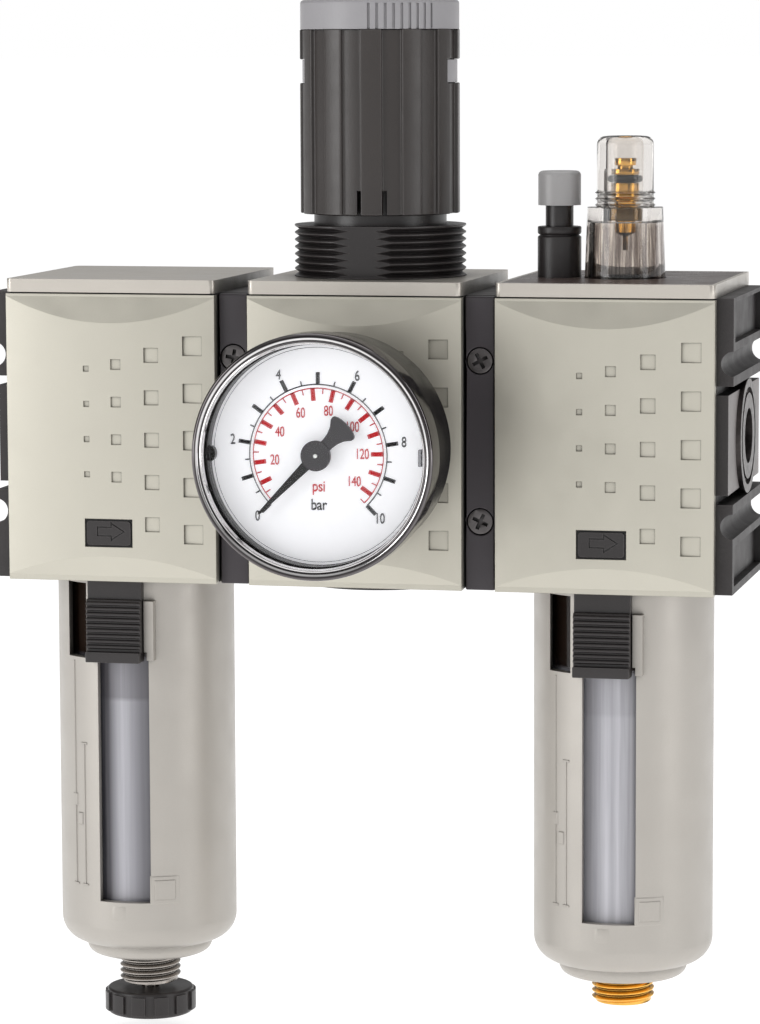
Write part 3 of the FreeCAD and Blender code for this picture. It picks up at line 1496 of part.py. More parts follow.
def inlay(name, clearance, high):
    """The dark panel let into the lubricator's lid, nearly to its edges."""
    side = half_width - s.inlay_side - clearance
    front = half_depth - s.inlay_front - clearance
    back = half_depth - s.inlay_side - clearance
    low = s.module_top - s.inlay_thick
    return box(name, (-side, -front, low), (side, back, low + high))


lid_recess = inlay("lid_recess", -s.working_gap / 2, 3)
top_plate("lubricator_top_plate", lubricator_x, [
    lid_recess,
    through_lid("lid_dome_hole", s.dome_base_radius + 0.15, 0),
    through_lid("lid_button_hole", s.button_base_radius + 0.1, s.button_x),
])
place(named(cut("lubricator_top_inlay", inlay("inlay_blank", 0, s.inlay_thick), [
    through_lid("inlay_dome_hole", s.dome_base_radius + 0.15, 0),
    through_lid("inlay_button_hole", s.button_base_radius + 0.1, s.button_x),
]), "lubricator_top_inlay"), x=lubricator_x)
bowl_guard("lubricator_bowl_guard", lubricator_x)
bowl("lubricator_bowl", lubricator_x)
lock_slide("lubricator_lock_slide", lubricator_x)
fitting("fill_fitting", lubricator_x, s.fill_fitting_low, s.fill_bore, 4)


DOME_RINGS = 3


def sight_dome():
    """Clear dome: clamped flange, tapered chamber, narrow neck with thread rings, open top."""
    rings = []
    root = s.dome_neck_radius - 0.3
    for i in range(DOME_RINGS):
        z = s.dome_ring_low + s.dome_ring_pitch * i
        rings.append(revolved(f"dome_ring_{i}", [
            (root, z - s.dome_ring_half), (s.dome_neck_radius + s.dome_ring_proud, z),
            (root, z + s.dome_ring_half),
        ]))
    shell = revolved("dome_shell", [
        (s.dome_cavity, s.dome_flange_low), (s.dome_flange_radius, s.dome_flange_low),
        (s.dome_flange_radius, plate_low), (s.dome_base_radius, plate_low),
        (s.dome_base_radius, s.module_top), (s.dome_waist_radius, s.dome_waist_z),
        (s.dome_neck_radius, s.dome_waist_z), (s.dome_neck_radius, s.dome_top, s.dome_round),
        (s.dome_bore, s.dome_top), (s.dome_bore, s.dome_cavity_top), (s.dome_cavity, s.dome_cavity_top),
    ])
    return fuse("sight_dome", [shell] + rings)


place(named(sight_dome(), "sight_dome"), x=lubricator_x)
ring("dome_seal", s.dome_seal_centre, s.dome_seal_wire,
     (lubricator_x, 0, s.dome_flange_low - s.dome_seal_wire))
place(named(revolved("drip_tube", [
    (0.3, s.drip_collar_top), (s.drip_collar_radius, s.drip_collar_top),
    (s.drip_collar_radius, s.drip_collar_low), (s.drip_neck_radius, s.drip_collar_low),
    (s.drip_neck_radius, s.drip_neck_low), (s.drip_tip_radius, s.drip_neck_low - 0.8),
    (s.drip_tip_radius, s.drip_tip_low), (0.3, s.drip_tip_low),
]), "drip_tube"), x=lubricator_x)


def metering_screw():
    """Brass screw that sets the drip rate: slotted head, groove for its seal, flanged foot."""
    top = s.meter_top
    seal_low = s.meter_seal_z - s.meter_seal_wire
    seal_high = s.meter_seal_z + s.meter_seal_wire
    shaft = revolved("meter_shaft", [
        (0, top), (s.meter_radius, top), (s.meter_radius, top - s.meter_head_high),
        (s.meter_groove_radius, top - s.meter_head_high), (s.meter_groove_radius, top - s.meter_head_low),
        (s.meter_body_radius, top - s.meter_head_low), (s.meter_body_radius, seal_high + 0.1),
        (s.meter_radius, seal_high + 0.1), (s.meter_radius, seal_low - 0.1),
        (s.meter_body_radius, seal_low - 0.1), (s.meter_body_radius, s.meter_low + 2),
        (s.meter_radius, s.meter_low + 1.2), (s.meter_radius, s.meter_low), (0, s.meter_low),
    ])
    half = s.meter_slot / 2
    slot = box("meter_slot", (-s.meter_radius - 1, -half, top - s.meter_slot_deep),
               (s.meter_radius + 1, half, top + 1))
    return cut("metering_screw", shaft, [slot])


place(named(metering_screw(), "metering_screw"), x=lubricator_x)
ring("metering_seal", s.meter_seal_centre, s.meter_seal_wire - 0.05, (lubricator_x, 0, s.meter_seal_z))

button_at = lubricator_x + s.button_x
groove_deep = s.button_groove_deep
place(named(revolved("fill_button_base", [
    (s.button_stem_bore, s.button_base_top), (s.button_base_radius, s.button_base_top),
    (s.button_base_radius, s.button_base_step),
    (s.button_base_radius - groove_deep, s.button_base_step - groove_deep / 2),
    (s.button_base_radius, s.button_base_step - groove_deep), (s.button_base_radius, s.button_base_low),
    (s.button_rod_bore, s.button_base_low), (s.button_rod_bore, s.button_cavity_low),
    (s.button_cavity, s.button_cavity_low), (s.button_cavity, s.button_stem_low + 1),
    (s.button_stem_bore, s.button_stem_low + 1),
]), "fill_button_base"), x=button_at)
place(named(revolved("fill_button_stem", [
    (0, s.button_cap_low + 3), (s.button_stem_radius, s.button_cap_low + 3),
    (s.button_stem_radius, s.button_stem_low), (s.button_rod_radius, s.button_stem_low),
    (s.button_rod_radius, s.button_rod_low), (0, s.button_rod_low),
]), "fill_button_stem"), x=button_at)
place(named(revolved("fill_button_cap", [
    (0, s.button_cap_low + 3), (s.button_stem_radius, s.button_cap_low + 3),
    (s.button_stem_radius, s.button_cap_low), (s.button_cap_radius, s.button_cap_low),
    (s.button_cap_radius, s.button_cap_top, s.button_cap_round), (0, s.button_cap_top),
]), "fill_button_cap"), x=button_at)
button_spring = coil("fill_button_spring", s.button_spring_radius, s.button_spring_wire,
                     s.button_spring_pitch, s.button_cavity_low, s.button_stem_low)
bind(named(button_spring, "fill_button_spring"), "Placement.Base.x", button_at)

place(named(revolved("siphon_tube", [
    (s.siphon_bore, s.siphon_top), (s.siphon_radius - 0.02, s.siphon_top),
    (s.siphon_radius - 0.02, s.siphon_low), (s.siphon_bore, s.siphon_low),
]), "siphon_tube"), x=lubricator_x)
place(named(revolved("siphon_filter", [
    (0, s.siphon_low), (s.siphon_filter_radius, s.siphon_low),
    (s.siphon_filter_radius, s.siphon_filter_low, 0.8), (0, s.siphon_filter_low),
]), "siphon_filter"), x=lubricator_x)


# ---------- pieces that come in sets ----------

together("rear_covers", [rear_cover(f"rear_cover_{i}", (i + 0.5) * step) for i in range(3)])
arrows = [place(arrow_seat("arrow_filter", 0, s.arrow_deep), x=filter_x + s.arrow_x - s.arrow_wide / 2,
                y=-half_depth - s.cover_bulge, z=s.arrow_z - s.arrow_high / 2)]
arrows.append(place(arrow_seat("arrow_lubricator", 0, s.arrow_deep),
                    x=lubricator_x + s.arrow_x - s.arrow_wide / 2,
                    y=-half_depth - s.cover_bulge, z=s.arrow_z - s.arrow_high / 2))
together("flow_arrows", arrows)
together("bowl_seals", [
    ring("filter_bowl_seal", s.oring_centre, s.oring_wire, (filter_x, 0, s.oring_z)),
    ring("lubricator_bowl_seal", s.oring_centre, s.oring_wire, (lubricator_x, 0, s.oring_z)),
])


def port_bush(name):
    """A G1/4 bush: flange with a ring groove in its face, and the threaded bore."""
    return revolved(name, [
        (s.port_minor, 0), (s.port_groove_in, 0),
        (s.port_groove_in, s.port_groove_deep), (s.port_groove_out, s.port_groove_deep),
        (s.port_groove_out, 0), (s.port_flange_radius, 0),
        (s.port_flange_radius, s.port_flange_thick), (s.port_shank_radius, s.port_flange_thick),
        (s.port_shank_radius, s.port_thread_long), (s.port_minor, s.port_thread_long),
    ])


together("port_inserts", [
    place(port_bush("inlet_bush"), turn=ALONG_X),
    place(port_bush("outlet_bush"), x=3 * step, turn=Rotation(Vector(0, 1, 0), -90)),
])

seam_places = [step, 2 * step]


def module_seal(name, x):
    """A flat rubber ring between two facing port pads."""
    start = x - s.side_pad_setback
    thick = 2 * s.side_pad_setback
    disc = cylinder(name + "_disc", s.seal_outer_radius, (start, 0, 0), thick, ALONG_X)
    hole = cylinder(name + "_hole", s.seal_hole_radius, (start - 1, 0, 0), thick + 2, ALONG_X)
    return cut(name, disc, [hole])


together("module_seals", [module_seal(f"module_seal_{i}", x) for i, x in enumerate(seam_places)])


def coupling_strip(name, front):
    """A clamping strip with two sleeves that key both neighbours; heads sink in the front one."""
    half = s.module_gap / 2 - s.strip_side_gap
    outer, inner = s.strip_front, s.strip_front - s.strip_thickness
    top = plate_low - s.working_gap
    strip = prism(name + "_bar", "YZ_Plane", [
        (-outer, s.cover_base), (-inner, s.cover_base), (-inner, top),
        (-outer + s.strip_chamfer, top), (-outer, top - s.strip_chamfer),
    ], -half, half)
    sleeves, bores = [], []
    bore = s.screw_radius + (s.working_gap if front else s.thread_clearance)
    for level in (PLUS, MINUS):
        z = level * s.clamp_z
        sleeves.append(cylinder(f"{name}_sleeve_{level}", s.sleeve_radius, (0, -s.working_gap, z),
                                inner - s.working_gap + 0.5, ALONG_MINUS_Y))
        bores.append(cylinder(f"{name}_bore_{level}", bore, (0, 1, z), s.strip_front + 2, ALONG_MINUS_Y))
        if front:
            bores.append(cylinder(f"{name}_seat_{level}", s.screw_seat_radius,
                                  (0, s.screw_seat_deep - outer, z), s.strip_thickness, ALONG_MINUS_Y))
    return cut(name, fuse(name + "_blank", [strip] + sleeves), bores)


def clamp_screw(name, x, level, turn):
    """A cross-recessed screw along +Y, its head in the front strip."""
    seat = s.screw_seat_deep - s.strip_front
    shank = cylinder(name + "_shank", s.screw_radius, (0, s.screw_reach, 0),
                     s.screw_reach - seat, ALONG_MINUS_Y)
    head = cylinder(name + "_head", s.screw_head_radius, (0, seat, 0), s.screw_head_high, ALONG_MINUS_Y)
    long, wide = s.screw_slot_long / 2, s.screw_slot_wide / 2
    face = seat - s.screw_head_high
    slots = [
        box(name + "_slot_a", (-long, face - 1, -wide), (long, face + s.screw_slot_deep, wide)),
        box(name + "_slot_b", (-wide, face - 1, -long), (wide, face + s.screw_slot_deep, long)),
    ]
    screw = cut(name, fuse(name + "_blank", [shank, head]), slots)
    return place(screw, x=x, z=level * s.clamp_z, turn=Rotation(Vector(0, 1, 0), turn))


BEHIND = Rotation(Vector(0, 0, 1), 180)
together("coupling_front_strips", [
    place(coupling_strip(f"front_strip_{i}", True), x=x) for i, x in enumerate(seam_places)
])
together("coupling_rear_strips", [
    place(coupling_strip(f"rear_strip_{i}", False), x=x, turn=BEHIND) for i, x in enumerate(seam_places)
])
SCREW_TURNS = (8.0, 38.0, 62.0, 25.0)
together("coupling_screws", [
    clamp_screw(f"clamp_screw_{i}", x, level, SCREW_TURNS[i])
    for i, (x, level) in enumerate((x, level) for x in seam_places for level in (PLUS, MINUS))
])


# ---------- check and write ----------

NODES = [
    "filter_body", "filter_front_cover", "filter_top_plate", "filter_bowl_guard", "filter_bowl",
    "filter_lock_slide", "filter_element", "filter_swirl_vane", "filter_baffle",
    "drain_nipple", "drain_stem", "drain_knob",
    "regulator_body", "regulator_front_cover", "regulator_top_plate", "regulator_bonnet",
    "regulator_knob", "knob_cap", "adjusting_screw", "spring_nut", "main_spring",
    "diaphragm", "diaphragm_disc", "valve_stem", "valve_spring", "bottom_plug",
    "gauge_case", "gauge_bezel", "gauge_lens", "gauge_dial", "gauge_pointer", "gauge_stem", "gauge_tube",
    "lubricator_body", "lubricator_front_cover", "lubricator_top_plate", "lubricator_top_inlay",
    "lubricator_bowl_guard", "lubricator_bowl", "lubricator_lock_slide", "fill_fitting",
    "sight_dome", "dome_seal", "drip_tube", "metering_screw", "metering_seal",
    "fill_button_base", "fill_button_stem", "fill_button_cap", "fill_button_spring",
    "siphon_tube", "siphon_filter",
    "rear_covers", "flow_arrows", "bowl_seals", "port_inserts", "module_seals",
    "coupling_front_strips", "coupling_rear_strips", "coupling_screws",
]

doc.recompute()
broken = [o.Name for o in doc.Objects if "Invalid" in o.State or "Error" in o.State]
if broken:
    raise RuntimeError(f"objects that did not rebuild: {broken}")

os.makedirs("parts", exist_ok=True)
for node in NODES:
    sub_part = doc.getObjectsByLabel(node)[0]
    shape = sub_part.Shape
    if shape.isNull() or not shape.isValid() or shape.Volume <= 0:
        raise RuntimeError(f"{node} has no valid solid")
    shape.exportStep(f"parts/{node}.step")
    print(f"{node:26s} solids {len(shape.Solids)}  volume {shape.Volume:10.1f} mm3")
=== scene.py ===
import json
import math

import bmesh
import bpy
from mathutils import Matrix, Vector

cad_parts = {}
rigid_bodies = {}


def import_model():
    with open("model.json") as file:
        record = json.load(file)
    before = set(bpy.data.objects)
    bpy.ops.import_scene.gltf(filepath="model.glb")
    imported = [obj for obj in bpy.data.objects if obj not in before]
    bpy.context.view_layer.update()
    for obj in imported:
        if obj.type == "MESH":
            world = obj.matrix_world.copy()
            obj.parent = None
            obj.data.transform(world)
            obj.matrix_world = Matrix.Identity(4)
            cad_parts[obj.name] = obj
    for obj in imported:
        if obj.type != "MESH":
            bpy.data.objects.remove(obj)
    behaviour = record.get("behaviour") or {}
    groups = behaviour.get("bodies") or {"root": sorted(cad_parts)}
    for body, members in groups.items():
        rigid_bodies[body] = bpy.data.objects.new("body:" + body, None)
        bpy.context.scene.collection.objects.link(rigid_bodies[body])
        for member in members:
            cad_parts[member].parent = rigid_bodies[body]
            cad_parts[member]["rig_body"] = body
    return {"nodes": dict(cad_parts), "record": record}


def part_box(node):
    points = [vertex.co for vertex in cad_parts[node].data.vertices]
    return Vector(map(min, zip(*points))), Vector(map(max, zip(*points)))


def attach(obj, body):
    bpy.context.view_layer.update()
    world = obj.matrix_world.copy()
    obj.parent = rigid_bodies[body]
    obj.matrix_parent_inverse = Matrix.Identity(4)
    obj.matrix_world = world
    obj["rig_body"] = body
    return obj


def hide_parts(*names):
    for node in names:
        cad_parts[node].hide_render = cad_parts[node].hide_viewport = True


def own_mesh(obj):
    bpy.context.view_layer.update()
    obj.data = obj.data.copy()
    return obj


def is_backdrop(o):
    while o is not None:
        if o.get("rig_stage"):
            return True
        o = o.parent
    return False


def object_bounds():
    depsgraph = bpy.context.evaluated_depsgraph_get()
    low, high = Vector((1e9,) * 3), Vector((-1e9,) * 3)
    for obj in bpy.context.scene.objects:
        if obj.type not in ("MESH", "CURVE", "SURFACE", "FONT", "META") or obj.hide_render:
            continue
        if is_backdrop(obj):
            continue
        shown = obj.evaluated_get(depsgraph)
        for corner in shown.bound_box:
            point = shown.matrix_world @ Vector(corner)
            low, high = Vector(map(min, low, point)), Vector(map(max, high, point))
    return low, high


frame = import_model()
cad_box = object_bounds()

# The looks of a filter regulator lubricator. Most pieces keep their CAD mesh and get a
# finish and soft edges; the gauge's face, the flow arrows, the fittings' threads and the
# guards' relief are drawn here, in millimetres, and turned into metres by MM.

MM = 0.001
NODES = frame["nodes"]


def middle_of(node):
    """The centre of a CAD piece's box, in millimetres."""
    low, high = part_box(node)
    return (low + high) / 2 / MM


FILTER_X = middle_of("filter_bowl").x
REGULATOR_X = middle_of("regulator_bonnet").x
LUBRICATOR_X = middle_of("lubricator_bowl").x
FILTER_UNIT = "filter_bowl_unit"
LUBRICATOR_UNIT = "lubricator_bowl_unit"


# ---------- procedural finishes ----------

def srgb(red, green, blue):
    """A screen colour, 0 to 255, as the linear colour that shaders use."""
    def linear(level):
        share = level / 255
        return share / 12.92 if share <= 0.04045 else ((share + 0.055) / 1.055) ** 2.4
    return (linear(red), linear(green), linear(blue), 1.0)


def scaled(colour, factor):
    """A colour made darker or lighter, at most white."""
    return tuple(min(1.0, level * factor) for level in colour[:3]) + (1.0,)


class Finish:
    """A node material built up step by step; lengths are in millimetres."""

    def __init__(self, name, **constants):
        self.material = bpy.data.materials.new(name)
        self.material.use_nodes = True
        self.tree = self.material.node_tree
        self.shader = self.tree.nodes["Principled BSDF"]
        self.place = self.add("ShaderNodeTexCoord").outputs["Object"]
        self.normal = None
        for socket, value in constants.items():
            self.shader.inputs[socket.replace("_", " ")].default_value = value

    def add(self, kind, **settings):
        """A new shader node."""
        node = self.tree.nodes.new(kind)
        for key, value in settings.items():
            setattr(node, key, value)
        return node

    def join(self, source, target):
        """Links an output to an input."""
        self.tree.links.new(source, target)

    def mapped(self, stretch=(1, 1, 1), centre=(0, 0, 0)):
        """Texture space stretched by a factor on each axis, about a centre."""
        shift = self.add("ShaderNodeMapping")
        shift.inputs["Scale"].default_value = [1 / s for s in stretch]
        shift.inputs["Location"].default_value = [-c * MM / s for c, s in zip(centre, stretch)]
        self.join(self.place, shift.inputs["Vector"])
        return shift.outputs["Vector"]

    def noise(self, size, detail=3.0, rough=0.55, stretch=(1, 1, 1)):
        """Cloudy noise whose lumps are about this size."""
        texture = self.add("ShaderNodeTexNoise")
        texture.inputs["Scale"].default_value = 1 / (size * MM)
        texture.inputs["Detail"].default_value = detail
        texture.inputs["Roughness"].default_value = rough
        self.join(self.mapped(stretch), texture.inputs["Vector"])
        return texture.outputs["Fac"]

    def rings(self, spacing, centre, direction, kind="RINGS"):
        """Even turning marks round an axis, or bands along it."""
        texture = self.add("ShaderNodeTexWave", wave_type=kind)
        if kind == "RINGS":
            texture.rings_direction = direction
        else:
            texture.bands_direction = direction
        texture.inputs["Scale"].default_value = 1 / (20 * spacing * MM) * math.pi
        texture.inputs["Distortion"].default_value = 0.6
        texture.inputs["Detail"].default_value = 1.0
        self.join(self.mapped(centre=centre), texture.inputs["Vector"])
        return texture.outputs["Fac"]

    def distance(self, centre, axis):
        """Distance in millimetres from a line along one axis through a centre."""
        flat = [1e6 if name == axis else MM for name in "XYZ"]
        shift = self.add("ShaderNodeMapping")
        shift.inputs["Scale"].default_value = [1 / s for s in flat]
        shift.inputs["Location"].default_value = [-c * MM / s for c, s in zip(centre, flat)]
        self.join(self.place, shift.inputs["Vector"])
        length = self.add("ShaderNodeVectorMath", operation="LENGTH")
        self.join(shift.outputs["Vector"], length.inputs[0])
        return length.outputs["Value"]

    def along(self, axis, low, high):
        """0 to 1 from one place to another along an axis, in millimetres."""
        split = self.add("ShaderNodeSeparateXYZ")
        self.join(self.place, split.inputs[0])
        return self.span(split.outputs[axis], 0.0, 1.0, low * MM, high * MM)

    def facing(self, axis):
        """1 on faces that look along an axis, either way."""
        flat = self.add("ShaderNodeNewGeometry")
        split = self.add("ShaderNodeSeparateXYZ")
        self.join(flat.outputs["Normal"], split.inputs[0])
        return self.product(split.outputs[axis], split.outputs[axis], 0.86, 0.94)

    def product(self, first, second, low=0.0, high=1.0):
        """Two masks multiplied, then spread from low to high."""
        node = self.add("ShaderNodeMath", operation="MULTIPLY")
        self.join(first, node.inputs[0])
        self.join(second, node.inputs[1])
        return self.span(node.outputs[0], 0.0, 1.0, low, high)

    def ramp(self, mask, *stops):
        """Colours at their places along a mask."""
        node = self.add("ShaderNodeValToRGB")
        band = node.color_ramp
        band.elements[0].position, band.elements[1].position = stops[0][0], stops[-1][0]
        band.elements[0].color, band.elements[1].color = stops[0][1], stops[-1][1]
        for at, colour in stops[1:-1]:
            band.elements.new(at).color = colour
        self.join(mask, node.inputs["Fac"])
        return node.outputs["Color"]

    def span(self, mask, low, high, start=0.3, end=0.7):
        """A mask's middle range spread from low to high."""
        node = self.add("ShaderNodeMapRange")
        for socket, value in zip(("From Min", "From Max", "To Min", "To Max"), (start, end, low, high)):
            node.inputs[socket].default_value = value
        self.join(mask, node.inputs["Value"])
        return node.outputs["Result"]

    def blend(self, mask, first, second):
        """Second over first where the mask is 1."""
        node = self.add("ShaderNodeMix", data_type="RGBA")
        self.join(mask, node.inputs["Factor"])
        for value, socket in ((first, node.inputs[6]), (second, node.inputs[7])):
            if isinstance(value, tuple):
                socket.default_value = value
            else:
                self.join(value, socket)
        return node.outputs[2]

    def edges(self, width, strength=1.0):
        """1 near convex and concave edges, 0 on open faces."""
        soft = self.add("ShaderNodeBevel", samples=3)
        soft.inputs["Radius"].default_value = width * MM
        flat = self.add("ShaderNodeNewGeometry")
        match = self.add("ShaderNodeVectorMath", operation="DOT_PRODUCT")
        self.join(soft.outputs["Normal"], match.inputs[0])
        self.join(flat.outputs["Normal"], match.inputs[1])
        return self.span(match.outputs["Value"], strength, 0.0, 0.90, 0.995)

    def hollows(self, reach, strength=1.0):
        """1 deep inside gaps and corners, 0 on open faces."""
        shade = self.add("ShaderNodeAmbientOcclusion", samples=6)
        shade.inputs["Distance"].default_value = reach * MM
        return self.span(shade.outputs["AO"], strength, 0.0, 0.25, 0.85)

    def bump(self, mask, depth, strength=1.0):
        """Relief of this depth, added over the relief so far."""
        node = self.add("ShaderNodeBump")
        node.inputs["Strength"].default_value = strength
        node.inputs["Distance"].default_value = depth * MM
        self.join(mask, node.inputs["Height"])
        if self.normal is not None:
            self.join(self.normal, node.inputs["Normal"])
        self.normal = node.outputs["Normal"]

    def done(self, colour=None, rough=None):
        """Links colour, gloss and relief to the shader; gives the finished material."""
        if colour is not None:
            self.join(colour, self.shader.inputs["Base Color"])
        if rough is not None:
            self.join(rough, self.shader.inputs["Roughness"])
        if self.normal is not None:
            self.join(self.normal, self.shader.inputs["Normal"])
        return self.material


def coated(name, colour, rough, grain, depth, drift=0.05, gloss_drift=0.06, edge_wear_and_shade=None, painted_hollow_shade=None,
           ends=None, **constants):
    """Paint or moulded plastic: slow colour drift, fine grain, uneven gloss, edges tinted by a given
    colour (pale wear on dark plastics, painted shade on covers and guards) and painted shade darkening its
    hollows.

    The ends, faces that look along X between two heights, may have a colour of their own.
    """
    finish = Finish(name, **constants)
    slow = finish.noise(16.0, detail=4.0)
    fine = finish.noise(grain, detail=2.0)
    tone = finish.ramp(slow, (0.3, scaled(colour, 1 - drift)), (0.7, scaled(colour, 1 + drift)))
    dots = finish.span(fine, 0.0, 0.5, 0.42, 0.72)
    tone = finish.blend(dots, tone, scaled(colour, 1 - 1.6 * drift))
    if ends is not None:
        low, high, bare = ends
        level = finish.product(finish.along("Z", low - 0.1, low), finish.along("Z", high + 0.1, high))
        tone = finish.blend(finish.product(finish.facing("X"), level), tone, bare)
    # Edge tint: pale wear on dark plastics, painted shade on covers and guards.
    if edge_wear_and_shade is not None:
        tone = finish.blend(finish.edges(*edge_wear_and_shade[:2]), tone, edge_wear_and_shade[2])
    # Painted shade: hollows darkened towards a tenth of the colour.
    if painted_hollow_shade is not None:
        tone = finish.blend(finish.hollows(*painted_hollow_shade), tone, scaled(colour, 0.10))
    gloss = finish.span(finish.noise(6.0, detail=5.0), rough - gloss_drift, rough + gloss_drift)
    finish.bump(fine, depth)
    finish.bump(slow, depth * 2.0, 0.5)
    return finish.done(tone, gloss)


def turned(name, colour, rough, centre, spacing=0.12, axis="Z", drift=0.10, painted_hollow_shade=None):
    """Machined metal with turning rings on its faces and lines round its sides, and, where given, painted
    shade darkening its hollows.
    """
    finish = Finish(name, Metallic=1.0)
    stain = finish.noise(3.0, detail=5.0)
    tone = finish.ramp(stain, (0.3, scaled(colour, 1 - drift)), (0.7, scaled(colour, 1 + drift)))
    # Painted shade: hollows darkened towards an eighth of the colour.
    if painted_hollow_shade is not None:
        tone = finish.blend(finish.hollows(painted_hollow_shade), tone, scaled(colour, 0.12))
    faces = finish.rings(spacing, centre, axis)
    sides = finish.rings(spacing, centre, axis, "BANDS")
    gloss = finish.span(finish.noise(1.2, detail=4.0), rough - 0.07, rough + 0.09)
    finish.bump(faces, 0.004, 0.5)
    finish.bump(sides, 0.004, 0.5)
    return finish.done(tone, gloss)


def clear(name, colour, rough, ior, alpha, haze):
    """See-through plastic or glass with faint uneven gloss and moulding waves."""
    finish = Finish(name, Transmission_Weight=1.0, IOR=ior, Alpha=alpha, Base_Color=colour)
    waves = finish.noise(7.0, detail=2.0)
    gloss = finish.span(finish.noise(2.5, detail=4.0), rough, rough + haze)
    finish.bump(waves, 0.02, 0.4)
    return finish.done(rough=gloss)


def dome_plastic():
    """Clear dome, water white at the top, with painted reflections as dark upright streaks in its thick
    lower wall.
    """
    finish = Finish("dome_polyamide", Transmission_Weight=1.0, IOR=1.49)
    streaks = finish.span(finish.noise(1.1, detail=3.0, stretch=(1, 1, 30)), 0.0, 1.0, 0.42, 0.60)
    # Painted reflections: dark upright streaks in the lower wall.
    painted_reflection_streaks = finish.blend(streaks, srgb(126, 116, 112), srgb(246, 240, 232))
    upper = finish.along("Z", DOME_SHOULDER - 1, DOME_SHOULDER + 1)
    tone = finish.blend(upper, painted_reflection_streaks, srgb(228, 224, 220))
    gloss = finish.span(finish.noise(2.5, detail=4.0), 0.015, 0.035)
    finish.bump(finish.noise(7.0, detail=2.0), 0.02, 0.4)
    return finish.done(tone, gloss)


def bowl_plastic(name, centre, painted_window_light, shade, **constants):
    """Bowl wall with painted light: grey levels across the window for its shading and highlights, painted
    shade above the shoulder, dark neck.
    """
    finish = Finish(name, IOR=1.50, **constants)
    across = finish.along("X", centre - WINDOW_HALF, centre + WINDOW_HALF)
    # Painted shading and highlights across the window.
    tone = finish.ramp(across, *((at, srgb(grey, grey - 1, grey + 6)) for at, grey in painted_window_light))
    streaks = finish.span(finish.noise(0.8, detail=3.0, stretch=(1, 1, 40)), 0.0, 0.35)
    tone = finish.blend(streaks, tone, srgb(150, 149, 156))
    # Painted shade above the shoulder.
    above = finish.along("Z", BOWL_SHOULDER, BOWL_SHOULDER + 1)
    tone = finish.blend(finish.span(above, 0.0, shade, 0.0, 1.0), tone, srgb(84, 80, 86))
    neck = finish.along("Z", BOWL_NECK, BOWL_NECK + 1)
    tone = finish.blend(neck, tone, srgb(40, 29, 23))
    gloss = finish.span(finish.noise(2.5, detail=4.0), 0.10, 0.20)
    finish.bump(finish.noise(7.0, detail=2.0), 0.02, 0.4)
    return finish.done(tone, gloss)


def porous(name, colour, grain, drift=0.25):
    """Sintered medium: packed grains with dark gaps."""
    finish = Finish(name, Roughness=0.9)
    cells = finish.add("ShaderNodeTexVoronoi")
    cells.inputs["Scale"].default_value = 1 / (grain * MM)
    finish.join(finish.place, cells.inputs["Vector"])
    mask = cells.outputs["Distance"]
    tone = finish.ramp(mask, (0.1, scaled(colour, 1 + drift)), (0.75, scaled(colour, 1 - 2 * drift)))
    finish.bump(mask, -0.12)
    return finish.done(tone)


CHAMPAGNE = srgb(203, 199, 186)
# Painted shade laid along the covers' edges and round their squares.
SQUARE_EDGE_PAINTED_SHADE = srgb(146, 141, 128)
WORN_DARK = srgb(100, 96, 96)
BARE_PAD = srgb(138, 133, 132)
PAD_HALF = 10.1         # half height of the bare pads round the ports
WINDOW_HALF = 5.6       # half width of a bowl guard's window
BOWL_SHOULDER = -57.5   # heights in Z where a bowl's or the dome's tone changes
BOWL_NECK = -48.4
DOME_SHOULDER = 44.0

# Painted shade: hollows are darkened on these finishes, and the covers' and guards' edges, round the
# covers' squares too, are darkened; the dark plastics' edges are paler where worn.
covers = coated("champagne_paint", CHAMPAGNE, 0.36, 0.22, 0.012, drift=0.018, painted_hollow_shade=(4.0, 0.9),
                edge_wear_and_shade=(0.22, 0.75, SQUARE_EDGE_PAINTED_SHADE), Metallic=0.55)
lids = coated("champagne_lid_paint", srgb(206, 200, 191), 0.34, 0.22, 0.010, drift=0.02,
              painted_hollow_shade=(20.0, 1.0), Metallic=0.6)
guards = coated("guard_satin_paint", srgb(188, 183, 176), 0.38, 0.30, 0.010, drift=0.025,
                edge_wear_and_shade=(0.20, 0.30, srgb(150, 146, 140)), painted_hollow_shade=(3.0, 0.8), Metallic=0.45)
casting = coated("dark_casting", srgb(50, 46, 46), 0.50, 0.45, 0.045, drift=0.10,
                 edge_wear_and_shade=(0.35, 0.35, WORN_DARK), painted_hollow_shade=(4.0, 0.9), ends=(-PAD_HALF, PAD_HALF, BARE_PAD))
strips = coated("strip_paint", srgb(62, 57, 61), 0.50, 0.25, 0.012, drift=0.06,
                edge_wear_and_shade=(0.25, 0.25, WORN_DARK), painted_hollow_shade=(1.5, 0.9))
knob_plastic = coated("knob_plastic", srgb(58, 53, 51), 0.34, 0.35, 0.020, drift=0.08,
                      edge_wear_and_shade=(0.35, 0.40, srgb(122, 118, 118)), painted_hollow_shade=(2.0, 0.9))
black_plastic = coated("black_plastic", srgb(46, 42, 42), 0.36, 0.30, 0.015, drift=0.10,
                       edge_wear_and_shade=(0.25, 0.40, srgb(112, 107, 106)), painted_hollow_shade=(1.2, 0.9))
thread_plastic = coated("thread_plastic", srgb(46, 42, 42), 0.34, 0.35, 0.012, drift=0.10,
                        edge_wear_and_shade=(0.18, 0.50, srgb(124, 118, 116)), painted_hollow_shade=(1.0, 0.95))
cap_plastic = coated("cap_plastic", srgb(160, 158, 161), 0.42, 0.30, 0.012, drift=0.04, painted_hollow_shade=(0.8, 0.6))
button_plastic = coated("button_plastic", srgb(170, 168, 168), 0.36, 0.25, 0.010, drift=0.04)
inlay_film = coated("inlay_film", srgb(84, 70, 66), 0.30, 0.30, 0.010, drift=0.08)
